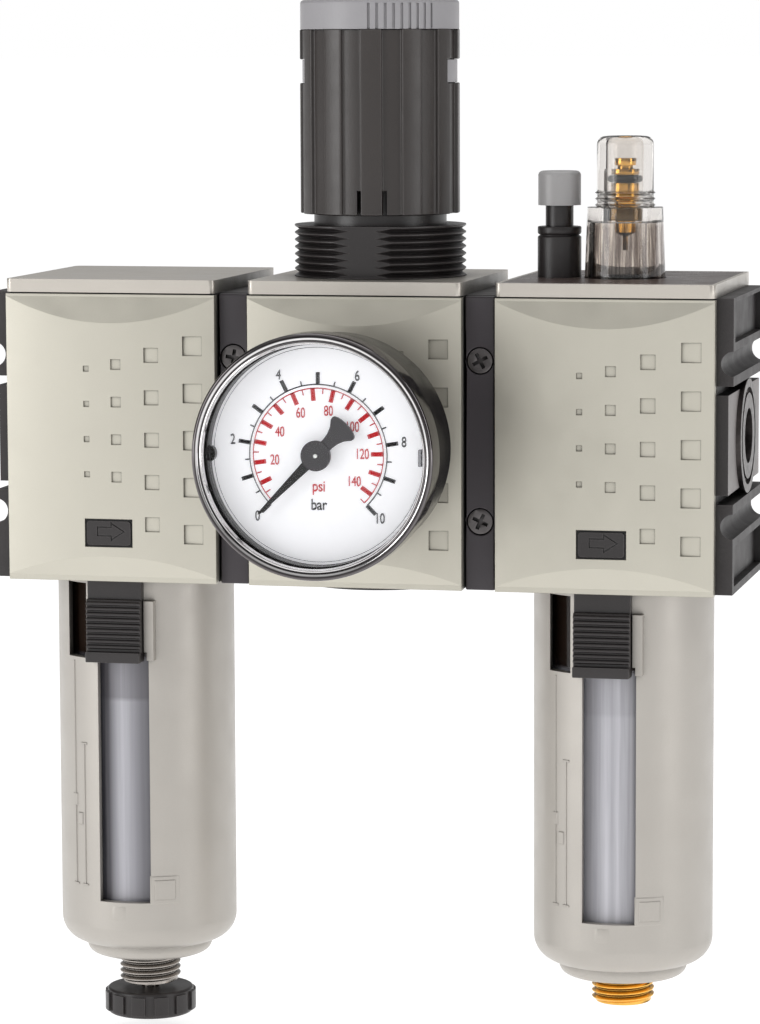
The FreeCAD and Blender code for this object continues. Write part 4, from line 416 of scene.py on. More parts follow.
rubber = coated("seal_rubber", srgb(9, 9, 10), 0.55, 0.30, 0.015, drift=0.15)
gloss_black = coated("gauge_black_lacquer", srgb(20, 18, 17), 0.22, 0.8, 0.004, drift=0.15,
                     Specular_IOR_Level=0.25)
pointer_black = coated("pointer_lacquer", srgb(22, 21, 22), 0.40, 0.20, 0.004, drift=0.10)
hub_grey = coated("pointer_hub_lacquer", srgb(64, 62, 65), 0.48, 0.20, 0.006, drift=0.06)
# The dial glows faintly, painted light that evens out the shade the bezel casts over it.
dial_paint_glowing = coated("dial_paint_glowing", srgb(236, 236, 239), 0.50, 0.20, 0.002, drift=0.012,
                    Emission_Color=srgb(236, 236, 239), Emission_Strength=0.34)
ink_black = coated("ink_black", srgb(8, 8, 10), 0.80, 0.10, 0.002, drift=0.12)
ink_red = coated("ink_red", srgb(198, 10, 26), 0.80, 0.10, 0.002, drift=0.06)
white_plastic = coated("tube_white", srgb(230, 230, 226), 0.40, 0.30, 0.010, drift=0.03)
brass = turned("brass", srgb(244, 190, 96), 0.16, (LUBRICATOR_X, 0, 0), painted_hollow_shade=1.0)
nickel = turned("nickel", srgb(172, 166, 160), 0.24, (FILTER_X, 0, 0), painted_hollow_shade=1.0)
port_metal = turned("port_nickel", srgb(92, 87, 86), 0.34, (0, 0, 0), axis="X", spacing=0.35, drift=0.35)
pin_steel = turned("pin_steel", srgb(240, 240, 238), 0.30, (REGULATOR_X, 0, 0))
steel = turned("steel", srgb(150, 150, 154), 0.30, (REGULATOR_X, 0, 0))
screw_steel = coated("screw_black_oxide", srgb(98, 94, 94), 0.34, 0.20, 0.010, drift=0.12,
                     edge_wear_and_shade=(0.15, 0.35, srgb(150, 146, 144)), painted_hollow_shade=(1.3, 1.0), Metallic=0.6)
# Both bowls carry painted light: grey levels across their windows for shading and highlights, fixed on the
# bowl.
filter_bowl_milky = bowl_plastic(
    "filter_bowl_milky", FILTER_X,
    ((0.0, 62), (0.14, 104), (0.42, 212), (0.58, 184), (0.80, 134), (1.0, 112)), 0.45,
    Transmission_Weight=0.15)
oil_bowl_clear = bowl_plastic(
    "oil_bowl_clear", LUBRICATOR_X,
    ((0.0, 196), (0.25, 210), (0.42, 246), (0.54, 228), (0.61, 255), (0.68, 238), (0.88, 226), (1.0, 130)),
    0.12, Transmission_Weight=0.10, Alpha=0.66)
dome_clear = dome_plastic()
lens_clear = clear("lens_glass", srgb(248, 250, 250), 0.01, 1.45, 0.10, 0.01)
filter_white = porous("sintered_white", srgb(205, 204, 196), 0.30)
filter_green = porous("sintered_green", srgb(72, 104, 84), 0.45)


def ringed_chrome():
    """Chrome rim whose reflections are painted as rings of colour by radius: dark on the outer roll, a
    bright ring, black in the groove and bright on the inner slope.
    """
    finish = Finish("chrome", Metallic=1.0, Roughness=0.10)
    radius, rim_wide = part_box("gauge_bezel")[1].x / MM - REGULATOR_X, 2.4
    from_axis = finish.distance((REGULATOR_X, 0, 0), "Y")
    place = finish.span(from_axis, 0.0, 1.0, radius - rim_wide, radius)
    bright, grey = srgb(232, 230, 230), srgb(120, 116, 117)
    dark, black = srgb(52, 48, 49), srgb(12, 11, 12)
    # Painted reflections: light and dark rings by distance from the axis.
    rings = finish.ramp(place, (0.0, black), (0.06, bright), (0.26, bright), (0.34, grey), (0.42, black),
                        (0.50, bright), (0.60, bright), (0.66, black), (0.74, dark), (0.90, grey),
                        (1.0, dark))
    stain = finish.span(finish.noise(9.0, detail=4.0), 0.0, 0.35)
    tone = finish.blend(stain, rings, scaled(grey, 0.9))
    gloss = finish.span(finish.noise(1.5, detail=4.0), 0.06, 0.16)
    finish.bump(finish.rings(0.10, (REGULATOR_X, 0, 0), "Y"), 0.003, 0.5)
    return finish.done(tone, gloss)


chrome = ringed_chrome()

NODE_FINISH = {
    covers: ("filter_front_cover", "regulator_front_cover", "lubricator_front_cover", "rear_covers"),
    lids: ("filter_top_plate", "regulator_top_plate", "lubricator_top_plate"),
    guards: ("filter_bowl_guard", "lubricator_bowl_guard"),
    casting: ("filter_body", "regulator_body", "lubricator_body"),
    strips: ("coupling_front_strips", "coupling_rear_strips"),
    knob_plastic: ("regulator_knob",),
    black_plastic: ("filter_lock_slide", "lubricator_lock_slide", "drain_knob", "bottom_plug",
                    "fill_button_base", "fill_button_stem", "flow_arrows", "filter_swirl_vane",
                    "filter_baffle"),
    thread_plastic: ("regulator_bonnet",),
    cap_plastic: ("knob_cap",),
    button_plastic: ("fill_button_cap",),
    inlay_film: ("lubricator_top_inlay",),
    rubber: ("diaphragm", "bowl_seals", "dome_seal", "metering_seal", "module_seals"),
    gloss_black: ("gauge_case",),
    pointer_black: ("gauge_pointer",),
    dial_paint_glowing: ("gauge_dial",),
    white_plastic: ("siphon_tube",),
    brass: ("fill_fitting", "drip_tube", "metering_screw", "gauge_stem", "gauge_tube", "valve_stem",
            "spring_nut"),
    nickel: ("drain_nipple", "drain_stem"),
    port_metal: ("port_inserts",),
    chrome: ("gauge_bezel",),
    steel: ("adjusting_screw", "main_spring", "valve_spring", "diaphragm_disc", "fill_button_spring"),
    screw_steel: ("coupling_screws",),
    filter_bowl_milky: ("filter_bowl",),
    oil_bowl_clear: ("lubricator_bowl",),
    dome_clear: ("sight_dome",),
    lens_clear: ("gauge_lens",),
    filter_white: ("filter_element",),
    filter_green: ("siphon_filter",),
}
for finish, nodes in NODE_FINISH.items():
    for node in nodes:
        for material_slot in NODES[node].material_slots:
            material_slot.material = finish


# ---------- softened edges on pieces taken over from CAD ----------

WELD_GAP = 0.002
# Edge radius, smallest angle in degrees that counts as an edge, nodes.
SOFT_EDGES = (
    (0.35, 32, ("filter_body", "regulator_body", "lubricator_body", "knob_cap", "fill_button_cap")),
    (0.25, 8, ("filter_front_cover", "regulator_front_cover", "lubricator_front_cover", "rear_covers")),
    (0.25, 32, ("filter_top_plate", "regulator_top_plate", "lubricator_top_plate", "regulator_knob",
                "coupling_front_strips", "coupling_rear_strips", "drain_knob", "gauge_case",
                "bottom_plug", "fill_button_base")),
    (0.20, 32, ("filter_bowl_guard", "lubricator_bowl_guard", "filter_lock_slide",
                "lubricator_lock_slide", "sight_dome", "filter_bowl", "lubricator_bowl")),
    (0.10, 32, ("coupling_screws", "metering_screw", "drip_tube", "regulator_bonnet",
                "lubricator_top_inlay", "gauge_stem", "adjusting_screw", "fill_button_stem")),
)

for radius, angle, nodes in SOFT_EDGES:
    for node in nodes:
        weld = NODES[node].modifiers.new("weld", "WELD")
        weld.merge_threshold = WELD_GAP * MM
        bevel = NODES[node].modifiers.new("soft_edges", "BEVEL")
        bevel.width = radius * MM
        bevel.segments = 2
        bevel.limit_method = "ANGLE"
        bevel.angle_limit = math.radians(angle)
        shade = NODES[node].modifiers.new("even_shading", "WEIGHTED_NORMAL")
        shade.weight = 80


# ---------- mesh building ----------

UPRIGHT = Matrix.Identity(4)
FORWARD = Matrix.Rotation(math.radians(90), 4, "X")


def piece(name, shells, finish, body, replaced=(), smooth=30):
    """One named piece from (vertices, faces) shells in millimetres, riding on a body."""
    mesh = bmesh.new()
    for vertices, faces in shells:
        points = [mesh.verts.new(Vector(v) * MM) for v in vertices]
        for face in faces:
            corners = list(dict.fromkeys(points[i] for i in face))
            if len(corners) > 2:
                mesh.faces.new(corners)
    bmesh.ops.remove_doubles(mesh, verts=mesh.verts, dist=0.0005 * MM)
    bmesh.ops.dissolve_degenerate(mesh, dist=0.0002 * MM, edges=mesh.edges)
    bmesh.ops.recalc_face_normals(mesh, faces=mesh.faces)
    data = bpy.data.meshes.new(name)
    mesh.to_mesh(data)
    mesh.free()
    data.materials.append(finish)
    data.shade_smooth()
    data.set_sharp_from_angle(angle=math.radians(smooth))
    made = bpy.data.objects.new(name, data)
    bpy.context.collection.objects.link(made)
    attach(made, body)
    if replaced:
        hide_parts(*replaced)
    return made


def moved(shell, turn=UPRIGHT, to=(0, 0, 0)):
    """A shell turned about the origin, then moved."""
    vertices, faces = shell
    return [turn @ Vector(v) + Vector(to) for v in vertices], faces


def lathe(profile, steps=96):
    """A closed half section (radius, height) turned about Z."""
    count = len(profile)
    vertices, faces = [], []
    for i in range(steps):
        angle = 2 * math.pi * i / steps
        vertices += [(r * math.cos(angle), r * math.sin(angle), h) for r, h in profile]
        after = (i + 1) % steps
        for j in range(count):
            k = (j + 1) % count
            faces.append((i * count + j, after * count + j, after * count + k, i * count + k))
    return vertices, faces


def rounded(points, radius, parts=4):
    """A closed outline with every corner rounded; a third value in a point overrides the radius."""
    outline = []
    for i, point in enumerate(points):
        here = Vector(point[:2])
        size = point[2] if len(point) > 2 else radius
        before = Vector(points[i - 1][:2]) - here
        after = Vector(points[(i + 1) % len(points)][:2]) - here
        if size <= 0:
            outline.append(here)
            continue
        half = before.angle(after) / 2
        reach = min(size / math.tan(half), before.length * 0.49, after.length * 0.49)
        start, end = here + before.normalized() * reach, here + after.normalized() * reach
        for j in range(parts + 1):
            t = j / parts
            outline.append((1 - t) ** 2 * start + 2 * t * (1 - t) * here + t * t * end)
    return outline


def slab(outline, low, high, chamfer=0.0):
    """A flat piece: an outline in XY raised from low to high, its top edge chamfered."""
    count = len(outline)
    centre = sum((Vector(p) for p in outline), Vector((0, 0))) / count
    rings = [(outline, low), (outline, high - chamfer)]
    if chamfer:
        inner = []
        for i, p in enumerate(outline):
            run = (Vector(outline[(i + 1) % count]) - Vector(outline[i - 1])).normalized()
            inward = Vector((-run.y, run.x))
            if inward.dot(centre - Vector(p)) < 0 and is_round(outline):
                inward = -inward
            inner.append(Vector(p) + inward * chamfer)
        rings.append((inner, high))
    vertices = [(p[0], p[1], z) for ring, z in rings for p in ring]
    faces = [tuple(range(count))[::-1], tuple((len(rings) - 1) * count + i for i in range(count))]
    for level in range(len(rings) - 1):
        for i in range(count):
            k = (i + 1) % count
            faces.append((level * count + i, level * count + k,
                          (level + 1) * count + k, (level + 1) * count + i))
    return vertices, faces


def frame_ring(outer, inner, low, high):
    """A flat ring between two outlines that have the same number of points."""
    count = len(outer)
    sides = ((outer, low), (outer, high), (inner, high), (inner, low))
    vertices = [(p[0], p[1], z) for outline, z in sides for p in outline]
    faces = []
    for side in range(4):
        here, there = side * count, (side + 1) % 4 * count
        for i in range(count):
            k = (i + 1) % count
            faces.append((here + i, here + k, there + k, there + i))
    return vertices, faces


def is_round(outline):
    """True for a convex outline, whose inside is always towards its centre."""
    count = len(outline)
    signs = set()
    for i in range(count):
        a, b, c = (Vector(outline[(i + k) % count]) for k in range(3))
        turn = (b - a).cross(c - b)
        if abs(turn) > 1e-9:
            signs.add(turn > 0)
    return len(signs) == 1


def arc_band(radius, width, start, end, low, high, step=3.0):
    """A flat curved band between two angles in degrees."""
    count = max(2, round(abs(end - start) / step))
    vertices, faces = [], []
    for i in range(count + 1):
        angle = math.radians(start + (end - start) * i / count)
        for r, z in ((radius - width / 2, low), (radius + width / 2, low),
                     (radius + width / 2, high), (radius - width / 2, high)):
            vertices.append((r * math.cos(angle), r * math.sin(angle), z))
    for i in range(count):
        for j in range(4):
            k = (j + 1) % 4
            faces.append((4 * i + j, 4 * i + 4 + j, 4 * i + 4 + k, 4 * i + k))
    faces += [(0, 1, 2, 3), tuple(4 * count + j for j in (3, 2, 1, 0))]
    return vertices, faces


def tick(angle, start, end, width, low, high):
    """A straight mark that points away from the centre."""
    bar = [(start, -width / 2), (end, -width / 2), (end, width / 2), (start, width / 2)]
    return moved(slab(bar, low, high), Matrix.Rotation(math.radians(angle), 4, "Z"))


def thread(crest, root, inside, pitch, low, high, flat=0.16, steps=96):
    """A sleeve with a right-hand helical thread outside, fading out towards both ends."""
    keys = ((0.0, crest), (flat, crest), (0.5 + flat / 2 - 0.04, root), (0.5 + flat / 2 + 0.04, root))
    turns = math.ceil((high - low) / pitch) + 2
    rows = [(turn + at, radius) for turn in range(-1, turns) for at, radius in keys]
    count = len(rows) + 2
    lead = pitch * 0.6
    vertices, faces = [], []
    for i in range(steps):
        angle = 2 * math.pi * i / steps
        around = (math.cos(angle), math.sin(angle))
        column = [(inside, low)]
        for at, radius in rows:
            z = min(high, max(low, low + pitch * (at - 1 + i / steps)))
            fade = min(1.0, min(z - low, high - z) / lead)
            column.append((root + (radius - root) * fade, z))
        column.append((inside, high))
        vertices += [(r * around[0], r * around[1], z) for r, z in column]
    for i in range(steps):
        after = (i + 1) % steps
        jump = len(keys) if after == 0 else 0
        for j in range(count):
            k = (j + 1) % count
            there = [min(n + jump, count - 1) if 0 < n < count - 1 else n for n in (j, k)]
            faces.append((i * count + j, after * count + there[0],
                          after * count + there[1], i * count + k))
    return vertices, faces


def on_cylinder(radius, centre_angle, half_wide, low, high, proud, edge=0.15, columns=8):
    """A raised panel that follows an upright cylinder; widths are along its surface."""
    inner = half_wide - edge
    across = [-half_wide, *(inner * (2 * i / columns - 1) for i in range(columns + 1)), half_wide]
    upward = [low, low + edge, high - edge, high]
    vertices, faces = [], []
    for depth in (-0.25, None):
        for u in across:
            for z in upward:
                rim = abs(u) == half_wide or z in (low, high)
                lift = depth if depth is not None else (-0.02 if rim else proud)
                angle = math.radians(centre_angle) + u / radius
                r = radius + lift
                vertices.append((r * math.sin(angle), -r * math.cos(angle), z))
    wide, tall = len(across), len(upward)
    top = wide * tall
    for i in range(wide - 1):
        for j in range(tall - 1):
            a, b = i * tall + j, (i + 1) * tall + j
            faces.append((a, a + 1, b + 1, b))
            faces.append((top + a, top + b, top + b + 1, top + a + 1))
    for j in range(tall - 1):
        for i in (0, (wide - 1) * tall):
            faces.append((i + j, top + i + j, top + i + j + 1, i + j + 1))
    for i in range(wide - 1):
        for j in (0, tall - 1):
            a, b = i * tall + j, (i + 1) * tall + j
            faces.append((a, b, top + b, top + a))
    return vertices, faces


def lettering(text, size, narrow, thick, at, weight=0.0):
    """Flat raised figures centred on a point in XY, as a shell.

    Weight makes the strokes heavier. A 4 would lose its hole that way, so figures with a 4
    are laid twice, a little apart, instead.
    """
    curve = bpy.data.curves.new("figures", "FONT")
    curve.body = text
    curve.size = size
    curve.align_x = "CENTER"
    curve.align_y = "CENTER"
    curve.extrude = thick
    doubled = "4" in text
    curve.offset = 0.0 if doubled else weight
    holder = bpy.data.objects.new("figures", curve)
    bpy.context.collection.objects.link(holder)
    mesh = bpy.data.meshes.new_from_object(holder)
    shifts = [(-weight, -weight / 2), (weight, weight / 2)] if doubled else [(0, 0)]
    vertices, faces = [], []
    for layer, (right, up) in enumerate(shifts):
        first = len(vertices)
        lift = at[2] + layer * thick / 10
        vertices += [(v.co.x * narrow + at[0] + right, v.co.y + at[1] + up, v.co.z + lift)
                     for v in mesh.vertices]
        faces += [tuple(first + i for i in p.vertices) for p in mesh.polygons]
    bpy.data.objects.remove(holder)
    bpy.data.curves.remove(curve)
    bpy.data.meshes.remove(mesh)
    return vertices, faces


def carved(base, cutter):
    """Takes one piece's shape out of another and removes the cutter."""
    tool = base.modifiers.new("carve", "BOOLEAN")
    tool.operation = "DIFFERENCE"
    tool.solver = "EXACT"
    tool.object = cutter
    depsgraph = bpy.context.evaluated_depsgraph_get()
    result = bpy.data.meshes.new_from_object(base.evaluated_get(depsgraph))
    base.modifiers.clear()
    result.name = base.name
    result.shade_flat()
    base.data = result
    bpy.data.objects.remove(cutter)
    return base


# ---------- the gauge: bezel, printed dial, pointer ----------

# Gauge pieces are drawn lying down about Z; their heights run forward from the axis plane.
GAUGE_SPOT = (REGULATOR_X, 0, 0)
dial_face = -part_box("gauge_dial")[0].y / MM
lens_face = -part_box("gauge_lens")[0].y / MM
bezel_low, bezel_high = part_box("gauge_bezel")
BEZEL_RADIUS = (bezel_high.x - bezel_low.x) / 2 / MM
BEZEL_BACK = -bezel_high.y / MM
BEZEL_FRONT = -bezel_low.y / MM
SCALE_START = 225.0
DEGREES_PER_BAR = 27.0
BAR_PER_PSI = 0.0689476
INK = 0.03
DIAL_EDGE = 21.35


def gauge_bezel():
    """Rolled rim: outer lip, a deep groove, an inner lip and a slope down to the glass."""
    front, rim = BEZEL_FRONT, BEZEL_RADIUS
    lip = [(rim - 0.75 + 0.75 * math.sin(a), front - 0.75 + 0.75 * math.cos(a))
           for a in (math.radians(10 * i) for i in range(9, -7, -1))]
    outline = [(rim - 1.28, BEZEL_BACK), (rim - 0.25, BEZEL_BACK), (rim, BEZEL_BACK + 0.25)] + lip
    outline += [
        (rim - 1.48, front - 0.55), (rim - 1.62, front - 0.60), (rim - 1.70, front - 0.42),
        (rim - 1.86, front - 0.36), (rim - 2.02, front - 0.46), (rim - 2.12, front - 0.75),
        (rim - 2.30, lens_face + 0.02), (rim - 1.28, lens_face + 0.02),
    ]
    return piece("gauge_bezel_rim", [moved(lathe(outline, 160), FORWARD, GAUGE_SPOT)],
                 chrome, "unit", ["gauge_bezel"], 40)


def dial_marks():
    """Two scales in one sweep: bar outside in black, psi inside in red."""
    low, high = dial_face - 0.05, dial_face + INK
    full_scale, figure_size, unit_size = 10, 2.9, 3.1
    end = SCALE_START - full_scale * DEGREES_PER_BAR

    def spot(angle, radius):
        turned_by = math.radians(angle)
        return (radius * math.cos(turned_by), radius * math.sin(turned_by), dial_face)

    def bar_marks():
        foot, long_tip, short_tip, figures = 13.95, 16.45, 15.0, 17.65
        yield arc_band(14.0, 0.26, SCALE_START, end, low, high)
        for half in range(2 * full_scale + 1):
            angle = SCALE_START - DEGREES_PER_BAR * half / 2
            if half % 2 == 0:
                yield tick(angle, foot, long_tip, 0.82, low, high)
            else:
                yield tick(angle, foot, short_tip, 0.30, low, high)
        for bar in range(0, full_scale + 1, 2):
            at = spot(SCALE_START - DEGREES_PER_BAR * bar, figures)
            yield lettering(str(bar), figure_size, 0.72, INK, at, 0.055)
        yield lettering("bar", unit_size, 0.80, INK, (0.1, -10.0, dial_face), 0.06)
        yield arc_band(DIAL_EDGE, 0.10, 0, 360, low, high)

    def psi_marks():
        long_foot, short_foot, tip, figures = 10.75, 12.1, 13.3, 8.95
        yield arc_band(13.25, 0.24, SCALE_START, end, low, high)
        for five in range(30):
            angle = SCALE_START - DEGREES_PER_BAR * BAR_PER_PSI * 5 * five
            if five % 2 == 0 and five > 0:
                yield tick(angle, long_foot, tip, 0.90, low, high)
            else:
                yield tick(angle, short_foot, tip, 0.26, low, high)
        for psi in range(20, 141, 20):
            at = spot(SCALE_START - DEGREES_PER_BAR * BAR_PER_PSI * psi, figures)
            yield lettering(str(psi), figure_size, 0.66, INK, at, 0.045)
        yield lettering("psi", unit_size, 0.80, INK, (0.1, -6.3, dial_face), 0.05)

    for name, marks, ink in (("dial_bar_scale", bar_marks, ink_black),
                             ("dial_psi_scale", psi_marks, ink_red)):
        printed = [moved(shell, FORWARD, GAUGE_SPOT) for shell in marks()]
        piece(name, printed, ink, "unit")


def gauge_pointer():
    """Tapered needle, round hub with its pin, and a tail with hollow sides and a domed end."""
    top, thick = -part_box("gauge_pointer")[0].y / MM, 0.45
    hub_radius = 3.05
    zero = Matrix.Rotation(math.radians(135), 4, "Z")
    needle = [(-1.15, 0.0), (1.15, 0.0), (0.26, 16.4), (0.0, 16.9), (-0.26, 16.4)]
    right_side = [(1.3, -2.2), (1.25, -3.4), (1.45, -4.8), (2.0, -6.2), (2.9, -7.3), (hub_radius, -7.9)]
    crown = [(hub_radius * math.cos(a), -8.0 - math.sin(a)) for a in
             (math.radians(15 * i) for i in range(1, 12))]
    left_side = [(-x, y) for x, y in reversed(right_side)]
    tail = list(reversed(right_side + crown + left_side))
    hub = [(hub_radius * math.cos(a), hub_radius * math.sin(a)) for a in
           (math.radians(6 * i) for i in range(60))]
    arbor = [(0, top - 6), (0.8, top - 6), (0.8, top + 0.05), (0, top + 0.05)]
    pin = [(0, top), (0.42, top), (0.42, top + 0.35), (0.3, top + 0.45), (0, top + 0.45)]
    turn = FORWARD @ zero
    blade = [slab(needle, top - thick, top - 0.05), lathe(arbor, 32)]
    piece("pointer_needle", [moved(s, turn, GAUGE_SPOT) for s in blade],
          pointer_black, "pointer", ["gauge_pointer"])
    plate = [slab(tail, top - thick - 0.02, top - 0.03), slab(hub, top - thick, top + 0.12, 0.08)]
    piece("pointer_hub", [moved(s, turn, GAUGE_SPOT) for s in plate],
          hub_grey, "pointer")
    piece("pointer_pin", [moved(lathe(pin, 32), turn, GAUGE_SPOT)], pin_steel, "pointer")


def gauge_trim():
    """The stop lug at the dial's left edge and the notch plate at its right edge."""
    half_round = [(1.0 * math.cos(a), 1.5 * math.sin(a)) for a in
                  (math.radians(-90 + 12 * i) for i in range(16))]
    lug = slab(half_round, dial_face, dial_face + 1.6, 0.12)
    piece("dial_stop_lug", [moved(lug, FORWARD, (REGULATOR_X - 21.7, 0, 0))],
          gloss_black, "unit")
    plate = slab(rounded([(-0.35, -1.7), (0.35, -1.7), (0.35, 1.7), (-0.35, 1.7)], 0.2),
                 dial_face + 2.0, dial_face + 2.8, 0.08)
    piece("dial_notch_plate", [moved(plate, FORWARD, (REGULATOR_X + 21.2, 0, 0))],
          steel, "unit")


gauge_bezel()
dial_marks()
gauge_pointer()
gauge_trim()


# ---------- flow arrows let into the covers ----------

def flow_arrows():
    """A dark insert with an engraved outlined arrow that points with the air flow."""
    low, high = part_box("flow_arrows")
    face = -low.y / MM
    wide, corner, rim, deep = 10.2, 0.85, 0.32, 0.9
    tall = (high.z - low.z) / MM
    centre_z = (high.z + low.z) / 2 / MM
    centres = (low.x / MM + wide / 2, high.x / MM - wide / 2)

    def plate_outline(inset):
        x, y = wide / 2 - inset, tall / 2 - inset
        return rounded([(-x, -y), (x, -y), (x, y), (-x, y)], corner)

    tail, neck, tip, shaft, head = -2.5, 0.45, 3.6, 1.05, 2.1
    lift, line = 0.35, 0.26
    arrow = [(tail, lift - shaft), (neck, lift - shaft), (neck, lift - head), (tip, lift),
             (neck, lift + head), (neck, lift + shaft), (tail, lift + shaft)]
    inside = [(tail + line, lift - shaft + line), (neck + line, lift - shaft + line),
              (neck + line, lift - head + 2.3 * line), (tip - 1.75 * line, lift),
              (neck + line, lift + head - 2.3 * line), (neck + line, lift + shaft - line),
              (tail + line, lift + shaft - line)]
    for name, x in zip(("filter_flow_arrow", "lubricator_flow_arrow"), centres):
        to = (x, 0, centre_z)
        plate = slab(plate_outline(rim), face - deep, face, 0.10)
        made = piece(name, [moved(plate, FORWARD, to)], black_plastic, "unit")
        border = frame_ring(plate_outline(0.0), plate_outline(rim), face - deep, face - 0.35)
        piece(name + "_rim", [moved(border, FORWARD, to)], rubber, "unit")
        groove = slab(arrow, face - 0.28, face + 0.5)
        cutter = piece("arrow_groove", [moved(groove, FORWARD, to)], black_plastic, "unit")
        carved(made, cutter)
        island = slab(inside, face - 0.6, face - 0.02, 0.03)
        piece(name + "_island", [moved(island, FORWARD, to)], black_plastic, "unit")
        if x == centres[0]:
            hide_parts("flow_arrows")


flow_arrows()


# ---------- threaded fittings under the bowls ----------

def threaded_fitting(name, node, x, body, finish, bore):
    """A G1/4 fitting with a true helical thread, its shank and the flange inside the bowl.

    The thread is a sleeve of its own over a slightly thicker core, so that the two overlap.
    """
    low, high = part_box(node)
    bottom, top = low.z / MM, high.z / MM
    crest, root, pitch = 6.55, 5.72, 1.337
    flange, shank, collar, core = 8.35, 4.97, 5.95, 5.6
    shank_low, thread_top = -108.9, -114.45
    outline = [(bore, top), (flange - 0.2, top), (flange, top - 0.2), (flange, top - 1.45),
               (shank, top - 1.5), (shank, shank_low), (collar, shank_low - 0.05),
               (collar, thread_top), (core, thread_top), (core, bottom + 0.02),
               (bore + 0.35, bottom + 0.02), (bore, bottom + 0.35)]
    shells = [lathe(outline), thread(crest, root, core - 0.1, pitch, bottom, thread_top)]
    return piece(name, [moved(s, to=(x, 0, 0)) for s in shells], finish, body, [node], 35)


threaded_fitting("drain_nipple_threaded", "drain_nipple", FILTER_X, FILTER_UNIT, nickel, 2.0)
threaded_fitting("fill_fitting_threaded", "fill_fitting", LUBRICATOR_X, LUBRICATOR_UNIT, brass, 2.4)


# ---------- relief cast into the bowl guards ----------

def guard_relief(name, x, body):
    """Level lines with end ticks, small pads, a blank label pad and a gate mark."""
    low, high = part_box(name.replace("_relief", ""))
    radius = (high.x - low.x) / 2 / MM
    raised = 0.20
    outer_line, inner_line, label, gate = -38.4, -29.4, 26.5, -4.0
    line_low, outer_top, inner_top = -97.0, -49.0, -66.5
    shells = []
    for angle, line_top in ((outer_line, outer_top), (inner_line, inner_top)):
        shells.append(on_cylinder(radius, angle, 0.22, line_low, line_top, raised, 0.10, 2))
    for angle, z in ((outer_line, line_low), (inner_line, line_low), (inner_line, inner_top)):
        shells.append(on_cylinder(radius, angle, 0.9, z - 0.4, z + 0.1, raised, 0.10, 3))
    for angle, z in ((outer_line, -79.0), (outer_line + 5, -83.0)):
        shells.append(on_cylinder(radius, angle, 0.8, z - 1.4, z + 1.4, raised, 0.2, 4))
    for half, proud in ((3.2, 0.12), (2.4, 0.26)):
        tall = half - 0.1
        shells.append(on_cylinder(radius, label, half, -97.5 - tall, -97.5 + tall, proud, 0.3, 10))
    shells.append(on_cylinder(radius, gate, 1.6, -104.3, -101.1, 0.10, 0.5, 8))
    return piece(name, [moved(s, to=(x, 0, 0)) for s in shells], guards, body, smooth=20)


guard_relief("filter_bowl_guard_relief", FILTER_X, FILTER_UNIT)
guard_relief("lubricator_bowl_guard_relief", LUBRICATOR_X, LUBRICATOR_UNIT)


# ---------- springs and diaphragm copied onto their bodies ----------------


def flexing_parts():
    """Copies of the CAD springs and diaphragm that ride on the CAD pieces' bodies in their place."""
    record = frame["record"]
    for joint in record["behaviour"]["joints"]:
        for soft in joint.get("deforming_nodes", ()):
            node = soft["node"]
            low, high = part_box(node)
            source = NODES[node]
            made = bpy.data.objects.new(node + "_flexing", source.data.copy())
            bpy.context.collection.objects.link(made)
            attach(made, source["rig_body"])
            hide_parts(node)
            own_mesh(made)


flexing_parts()


# ---------- floor, light and camera ----------

def floor():
    """A wide pale floor that the unit hovers just above, as it does on its pipe."""
    gap, half = 0.004, 60.0
    level = cad_box[0].z - gap
    mesh = bpy.data.meshes.new("floor")
    corners = [(-half, -half, level), (half, -half, level), (half, half, level), (-half, half, level)]
    mesh.from_pydata(corners, [], [(0, 1, 2, 3)])
    finish = Finish("floor_paper", Roughness=0.9, Emission_Color=(1, 1, 1, 1), Emission_Strength=0.80)
    finish.shader.inputs["Specular IOR Level"].default_value = 0.0
    tone = finish.ramp(finish.noise(40.0), (0.3, srgb(198, 198, 198)), (0.7, srgb(202, 202, 202)))
    mesh.materials.append(finish.done(tone))
    made = bpy.data.objects.new("floor", mesh)
    bpy.context.collection.objects.link(made)
    made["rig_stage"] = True


def soft_light(name, place, aim, wide, high, power):
    """A rectangular softbox turned to its aim."""
    light = bpy.data.lights.new(name, "AREA")
    light.shape = "RECTANGLE"
    light.size, light.size_y = wide, high
    light.energy = power
    made = bpy.data.objects.new(name, light)
    bpy.context.collection.objects.link(made)
    made.location = place
    made.rotation_euler = (Vector(aim) - Vector(place)).to_track_quat("-Z", "Y").to_euler()


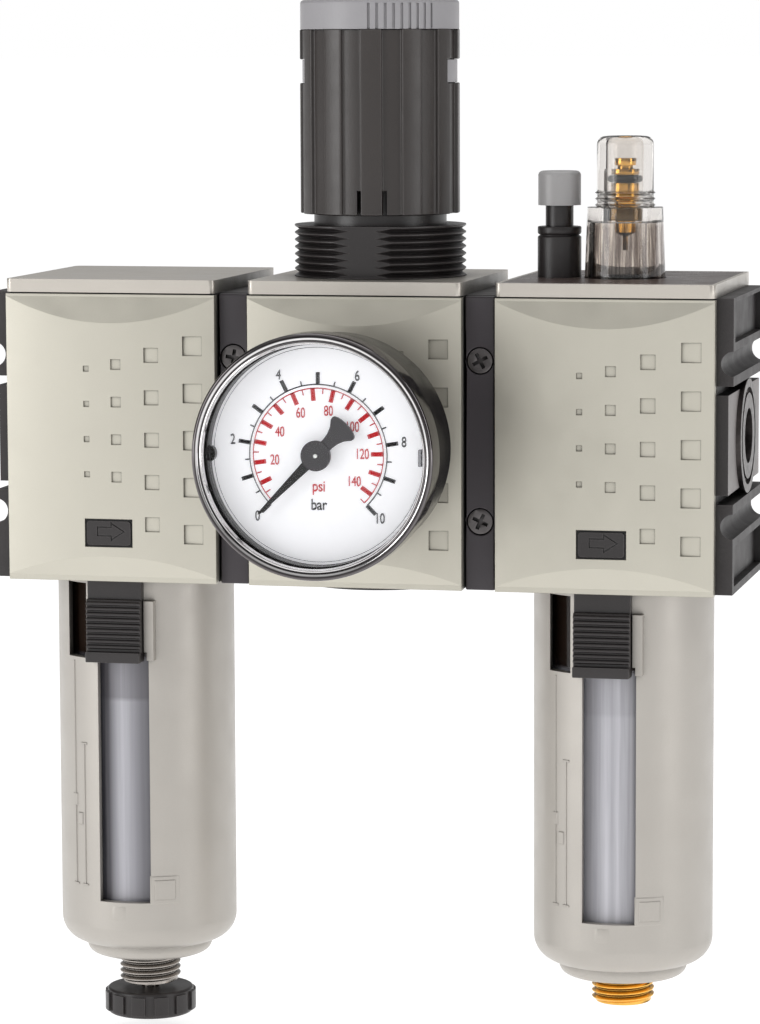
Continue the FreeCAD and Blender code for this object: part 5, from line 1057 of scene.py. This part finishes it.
def sky():
    """White at the horizon, darker above it and towards both sides, brighter overhead."""
    world = bpy.data.worlds.new("studio")
    bpy.context.scene.world = world
    world.use_nodes = True
    tree = world.node_tree
    background = tree.nodes["Background"]
    where = tree.nodes.new("ShaderNodeTexCoord")
    split = tree.nodes.new("ShaderNodeSeparateXYZ")
    tree.links.new(where.outputs["Generated"], split.inputs[0])
    side = tree.nodes.new("ShaderNodeMath")
    side.operation = "ABSOLUTE"
    tree.links.new(split.outputs["X"], side.inputs[0])

    def band(source, stops):
        ramp = tree.nodes.new("ShaderNodeValToRGB")
        ends = ramp.color_ramp.elements
        ends[0].position, ends[1].position = stops[0][0], stops[-1][0]
        ends[0].color, ends[1].color = [(level, level, level, 1) for _, level in (stops[0], stops[-1])]
        for at, level in stops[1:-1]:
            ends.new(at).color = (level, level, level, 1)
        tree.links.new(source, ramp.inputs["Fac"])
        return ramp.outputs["Color"]

    upward = band(split.outputs["Z"], ((0.02, 1.0), (0.06, 0.40), (0.40, 0.34), (0.90, 0.6)))
    sideways = band(side.outputs[0], ((0.50, 1.0), (0.72, 0.18), (1.0, 0.12)))
    both = tree.nodes.new("ShaderNodeMix")
    both.data_type = "RGBA"
    both.blend_type = "MULTIPLY"
    both.inputs["Factor"].default_value = 1.0
    tree.links.new(upward, both.inputs[6])
    tree.links.new(sideways, both.inputs[7])
    tree.links.new(both.outputs[2], background.inputs["Color"])
    background.inputs["Strength"].default_value = 1.0


def camera():
    """The viewpoint: right of the front, a little above, from about 0.85 m."""
    place = Vector((270.4, -829.0, 80.8)) * MM
    azimuth, elevation, roll = 13.09, 6.60, -0.23
    lens = bpy.data.cameras.new("camera")
    lens.lens = 142.3
    made = bpy.data.objects.new("camera", lens)
    bpy.context.collection.objects.link(made)
    turn = Matrix.Rotation(math.radians(azimuth), 4, "Z")
    turn @= Matrix.Rotation(math.radians(90 - elevation), 4, "X")
    turn @= Matrix.Rotation(math.radians(roll), 4, "Z")
    made.matrix_world = Matrix.Translation(place) @ turn
    bpy.context.scene.camera = made


floor()
sky()
target = (0.078, 0.0, -0.02)
soft_light("key_left", (-0.80, -0.75, 0.12), target, 0.55, 0.9, 5.6)
soft_light("edge_right", (0.95, -0.30, 0.25), target, 0.30, 0.9, 2.0)
soft_light("overhead", (0.05, 0.35, 1.1), target, 0.9, 0.9, 3.2)
camera()
bpy.context.scene.view_settings.view_transform = "Standard"

boxes = {"cad": cad_box, "visual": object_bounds()}
{key: [list(corner) for corner in box] for key, box in boxes.items()}
